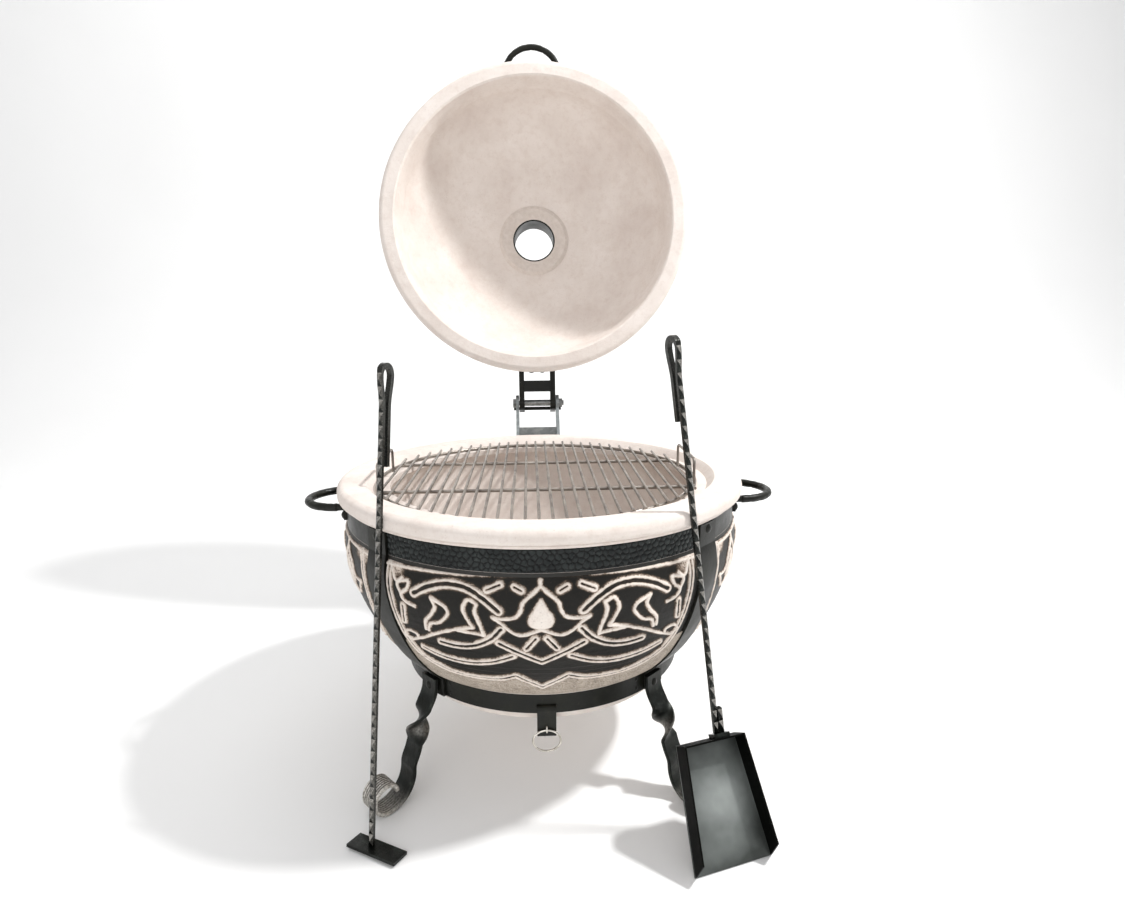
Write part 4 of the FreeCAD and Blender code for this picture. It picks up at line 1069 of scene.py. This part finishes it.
def relief_glaze():
    """Dark glaze that is rubbed off the ridges down to cream clay, with lighter halos that are
    partly painted flank light.
    """
    look = Look("relief_glaze", 0.5, specular=0.22)
    fine = look.noise(1.6, 5, 0.7)
    patch = look.noise(14, 4, 0.6)
    jitter = look.scaled(fine, 1.3, -0.65)
    drift = look.scaled(patch, 0.8, -0.4)
    glaze = look.attribute("glaze")
    weight = look.math("MINIMUM", look.scaled(glaze, 2.2, 0.06), 1.0)
    change = look.times(look.math("ADD", jitter, drift), weight)
    share = look.math("ADD", glaze, change)
    dark = [(0.0, "110f0b"), (0.13, "1a1711"), (0.24, "43382e")]
    body = look.ramp(share, dark + [(0.34, "857465"), (0.46, "d5c7bb"), (1.0, "eee5dc")])
    worn = look.ramp(fine, [(0.34, "6a6054"), (0.5, "a3988a"), (0.66, "cbbfb1")])
    body = look.tint(body, look.attribute("plain"), 0.72, worn)
    body = look.tint(body, look.mask(look.noise(2, 2, 0.6), 0.62, 0.7), 0.4, "3a2e26")
    look.paint(body, look.ramp(share, [(0.25, 0.46), (0.5, 0.88)]))
    look.bumps((patch, 0.8), (fine, 0.3))
    return look.material


def cobbled_metal():
    """Dark metal with black cracks between its cobbles."""
    look = Look("cobbled_metal", 0.45, 0.35, 0.35)
    fine = look.noise(2, 5, 0.65)
    shades = [(0.35, "1a1e1e"), (0.6, "2a2f2e"), (0.8, "3b403e")]
    top = look.ramp(look.noise(30, 4, 0.6), shades)
    line = look.ramp(fine, [(0.55, "030303"), (0.72, "3a3e3b")])
    base = look.mix(look.attribute("dent"), line, top)
    look.paint(base, look.ramp(fine, [(0.3, 0.26), (0.7, 0.46)]))
    look.bumps((fine, 0.25))
    return look.material


def painted_steel():
    """Smooth black-green paint with a little dust."""
    look = Look("painted_steel", 0.4, 0.1, 0.28)
    patch = look.noise(40, 5, 0.6)
    fine = look.noise(2.5, 5, 0.7)
    body = look.ramp(patch, [(0.3, "0b0c09"), (0.55, "151610"), (0.8, "24251c")])
    body = look.tint(body, look.mask(fine, 0.62, 0.78), 0.25, "6f6a58")
    look.paint(body, look.ramp(patch, [(0.3, 0.3), (0.7, 0.52)]))
    look.bumps((look.noise(9, 3), 0.25), (fine, 0.12))
    return look.material


def forged_iron(name, light, dark, rough, grey_share=None):
    """Dark hammered iron, with light grey where a named attribute says so: worn metal, and painted
    highlights.
    """
    look = Look(name, 0.42, 0.7)
    fine = look.noise(1.8, 5, 0.7)
    shades = [(0.32, dark), (0.55, "1c1f1c"), (0.78, light)]
    body = look.ramp(look.noise(16, 4, 0.6), shades)
    if grey_share:
        # Light grey for the legs' worn flutes, and painted highlights on the legs' twist and the
        # tools' facets
        wear_and_highlight_grey = look.ramp(look.noise(3, 4, 0.6), [(0.35, "8d8982"), (0.6, "d8d4cc")])
        body = look.mix(look.attribute(grey_share), body, wear_and_highlight_grey)
        body = look.tint(body, look.attribute("sunk"), 0.85, "2a2622")
    look.paint(body, look.ramp(fine, [(0.3, rough[0]), (0.7, rough[1])]))
    look.bumps((look.noise(8, 3, 0.5), 0.4), (fine, 0.1))
    return look.material


def zinc():
    """Grey zinc with flat crystals and darker stains."""
    look = Look("zinc_coating", 0.5, 0.75)
    grey = look.ramp(look.cells(7.0)["Color"], [(0.2, "868b8c"), (0.8, "9ba0a0")])
    stain = look.mask(look.noise(25, 5, 0.65), 0.4, 0.75)
    look.paint(look.tint(grey, stain, 0.5, "5b6062"))
    look.bumps((look.noise(1.5, 4, 0.6), 0.1))
    return look.material


def steel_wire():
    """Drawn steel with heat tint and a trace of soot."""
    look = Look("steel_wire", 0.36, 0.85)
    shades = [(0.35, "77706a"), (0.55, "9b948c"), (0.8, "b9b3ab")]
    body = look.ramp(look.noise(35, 4, 0.6), shades)
    soot = look.mask(look.noise(9, 5, 0.7), 0.58, 0.75)
    fine = look.noise(0.9, 3, 0.6)
    look.paint(look.tint(body, soot, 0.6, "3d3733"), look.ramp(fine, [(0.3, 0.28), (0.7, 0.5)]))
    look.bumps((fine, 0.06))
    return look.material


def plain_metal(name, light, dark, roughness):
    look = Look(name, roughness, 1.0)
    look.paint(look.ramp(look.noise(12, 4, 0.6), [(0.35, dark), (0.65, light)]))
    look.bumps((look.noise(1.2, 4, 0.6), 0.05))
    return look.material


def cement():
    look = Look("cement", 0.95)
    lump = look.noise(9, 4, 0.6)
    look.paint(look.ramp(lump, [(0.35, "d0c5bc"), (0.7, "dcd2ca")]))
    look.bumps((lump, 1.6), (look.noise(1.6, 6, 0.7), 0.5))
    return look.material


def cast_iron():
    """Dark rough iron with ash on it."""
    look = Look("cast_iron", 0.75, 0.4)
    body = look.ramp(look.noise(4, 5, 0.6), [(0.35, "1d1b19"), (0.7, "37322e")])
    ash = look.mask(look.noise(18, 5, 0.65), 0.4, 0.7)
    look.paint(look.tint(body, ash, 0.5, "8b8178"))
    look.bumps((look.noise(1.4, 5, 0.7), 0.4))
    return look.material


def pan_walls(look):
    """1 on the pan's walls and underside, 0 on its floor."""
    raised = look.vector("DOT_PRODUCT", look.where, PAN_OUT)["Value"]
    above = look.math("SUBTRACT", raised, float(PAN_OUT @ PAN_CORNER) * MM)
    wall = look.math("GREATER_THAN", above, PAN_FLOOR[1] * MM)
    return look.math("MAXIMUM", wall, look.math("LESS_THAN", above, PAN_FLOOR[0] * MM))


def pan_steel():
    """Satin grey floor with a painted reflection patch, and walls and underside painted near black
    as shade.
    """
    look = Look("pan_steel", 0.42, 0.55)
    dark = pan_walls(look)
    away = look.vector("DISTANCE", look.where, PAN_MIDDLE * MM)["Value"]
    # Painted reflection: a light patch round the floor's middle
    painted_reflection = look.ramp(look.times(away, 10.0), [(0.1, 1.0), (0.75, 0.0)])
    cloud = look.noise(55, 3, 0.5)
    tone = look.scaled(cloud, 0.5, look.times(painted_reflection, 0.5))
    floor = look.ramp(tone, [(0.25, "454946"), (0.5, "787d7a"), (0.8, "aeb3b0")])
    fine = look.noise(1.6, 5, 0.7)
    floor = look.tint(floor, look.mask(fine, 0.66, 0.78), 0.25, "23261f")
    look.set(look.shader, {"Specular IOR Level": look.scaled(dark, -0.42, 0.5)})
    # Painted shade: the walls and underside are near black
    look.paint(look.mix(dark, floor, "080907"), look.scaled(dark, 0.25, 0.42))
    look.bumps((look.noise(14, 3), 0.3), (fine, 0.08))
    return look.material


def dress(names, material):
    for name in names.split():
        mesh = frame["nodes"][name].data
        mesh.materials.clear()
        mesh.materials.append(material)


def dress_solids(cobbled, painted):
    """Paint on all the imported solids, and then the others' own materials."""
    dress(" ".join(frame["nodes"]), painted)
    iron = forged_iron("base_iron", "3c413d", "10120f", (0.2, 0.42))
    bolt_steel = plain_metal("bolt_steel", "a9aaa8", "6c6d6c", 0.35)
    dress("bowl_shell", fired_clay("bowl_clay", bowl_outside))
    dress("lid_dome", fired_clay("lid_clay", lid_outside))
    dress("band_front", cobbled)
    dress("leg_front_left leg_front_right leg_rear", iron)
    dress("rake_shaft rake_plate shovel_shaft shovel_tang", iron)
    dress("hinge_bracket", zinc())
    dress("grate_bars grate_frame grate_loops", steel_wire())
    dress("hinge_bolt hinge_nut hinge_spacer cover_pivot", bolt_steel)
    dress("tab_staple pull_ring", plain_metal("bright_ring", "e4e0d8", "b5b0a6", 0.2))
    dress("cover_knob", plain_metal("old_brass", "b98f45", "7c5f2f", 0.35))
    dress("fire_grate", cast_iron())
    dress("flue_mortar", cement())
    dress("shovel_pan", pan_steel())


def add_panels(glaze):
    """Three relief panels on the bowl and three on the lid, between the straps."""
    front_half = STRAP_AZIMUTH - STRAP_HALF_TURN - STRAP_GAP
    side_middle = (STRAP_AZIMUTH + 180.0) / 2
    side_half = (180.0 - STRAP_AZIMUTH) / 2 - STRAP_HALF_TURN - STRAP_GAP
    bowl, lid = bowl_profile(), lid_profile()
    panels = [
        ("front", 0.0, front_half, PANEL_STEP),
        ("right", side_middle, side_half, SIDE_PANEL_STEP),
        ("left", -side_middle, side_half, SIDE_PANEL_STEP),
    ]
    for name, middle, half, step in panels:
        relief_panel("relief_" + name, bowl, middle, half, step, "base", glaze)
        relief_panel("lid_relief_" + name, lid, middle, half, LID_PANEL_STEP, "lid", glaze)


def build():
    """Everything that is laid on the solids."""
    cobbled = cobbled_metal()
    painted = painted_steel()
    # The tools' light grey is painted highlight on their facets
    tool_iron = forged_iron("tool_iron", "2b2f2c", "0b0d0b", (0.16, 0.32), "painted_facet_shine")
    leg_iron = forged_iron("leg_iron", "3a3e36", "12140e", (0.26, 0.46), "worn")
    dress_solids(cobbled, painted)
    add_panels(relief_glaze())
    hammered_skin(cobbled)
    for name, azimuth in LEG_AZIMUTHS.items():
        leg(name, azimuth, leg_iron)
    add_tools(tool_iron)
    for name, azimuth in (("grip_left", -GRIP_AZIMUTH), ("grip_right", GRIP_AZIMUTH)):
        grip_sleeve(name, RIM_Z - HANDLE_STEP_Z, azimuth, BOWL_GRIP, "base", painted)
    grip_sleeve("grip_lid", LID_RIM_Z + HANDLE_STEP_Z, 0.0, LID_GRIP, "lid", painted)


# Studio


def floor_material():
    look = Look("studio_floor", 0.85)
    look.paint(look.ramp(look.noise(900, 2), [(0.3, "f4f4f3"), (0.7, "f7f7f6")]))
    return look.material


def add_floor():
    """A pale floor that bends up into a wall behind."""
    curve_y = WALL_Y - WALL_CURVE_R
    profile = [(FLOOR_FRONT_Y, 0.0), (curve_y, 0.0)]
    for step in range(1, WALL_CURVE_STEPS + 1):
        angle = math.radians(90.0 * step / WALL_CURVE_STEPS)
        rise = WALL_CURVE_R - WALL_CURVE_R * math.cos(angle)
        profile.append((curve_y + WALL_CURVE_R * math.sin(angle), rise))
    profile.append((WALL_Y, WALL_TOP))
    points = [(x, y, z) for y, z in profile for x in (-FLOOR_HALF_W, FLOOR_HALF_W)]
    faces = [(2 * i, 2 * i + 1, 2 * i + 3, 2 * i + 2) for i in range(len(profile) - 1)]
    floor = smooth_mesh("floor", points, faces, floor_material())


def aim(holder, place, forward, up):
    """Put an object at a place, looking forward."""
    right = unit(np.cross(forward, up))
    up = np.cross(right, forward)
    rows = [[right[i], up[i], -forward[i], place[i]] for i in range(3)]
    holder.matrix_world = Matrix(rows + [[0, 0, 0, 1]])


def add_lights():
    """The lamps and an even sky."""
    for name, place, target, size, power in LAMPS:
        lamp = bpy.data.lights.new(name, "AREA")
        lamp.shape = "DISK"
        lamp.size = size
        lamp.energy = power
        aim(linked(name, lamp), place, unit(np.subtract(target, place)), UP)
    world = bpy.data.worlds.new("studio")
    world.use_nodes = True
    background = world.node_tree.nodes["Background"]
    background.inputs["Color"].default_value = colour("f4f4f6")
    background.inputs["Strength"].default_value = 0.64
    bpy.context.scene.world = world
    bpy.context.scene.view_settings.view_transform = "Standard"


def add_camera():
    lens = bpy.data.cameras.new("camera")
    lens.sensor_width = 36.0
    lens.lens = 22.29
    lens.clip_start = 0.02
    holder = linked("camera", lens)
    aim(holder, CAMERA_PLACE, CAMERA_FORWARD, CAMERA_UP)
    bpy.context.scene.camera = holder


build()
add_floor()
add_lights()
add_camera()
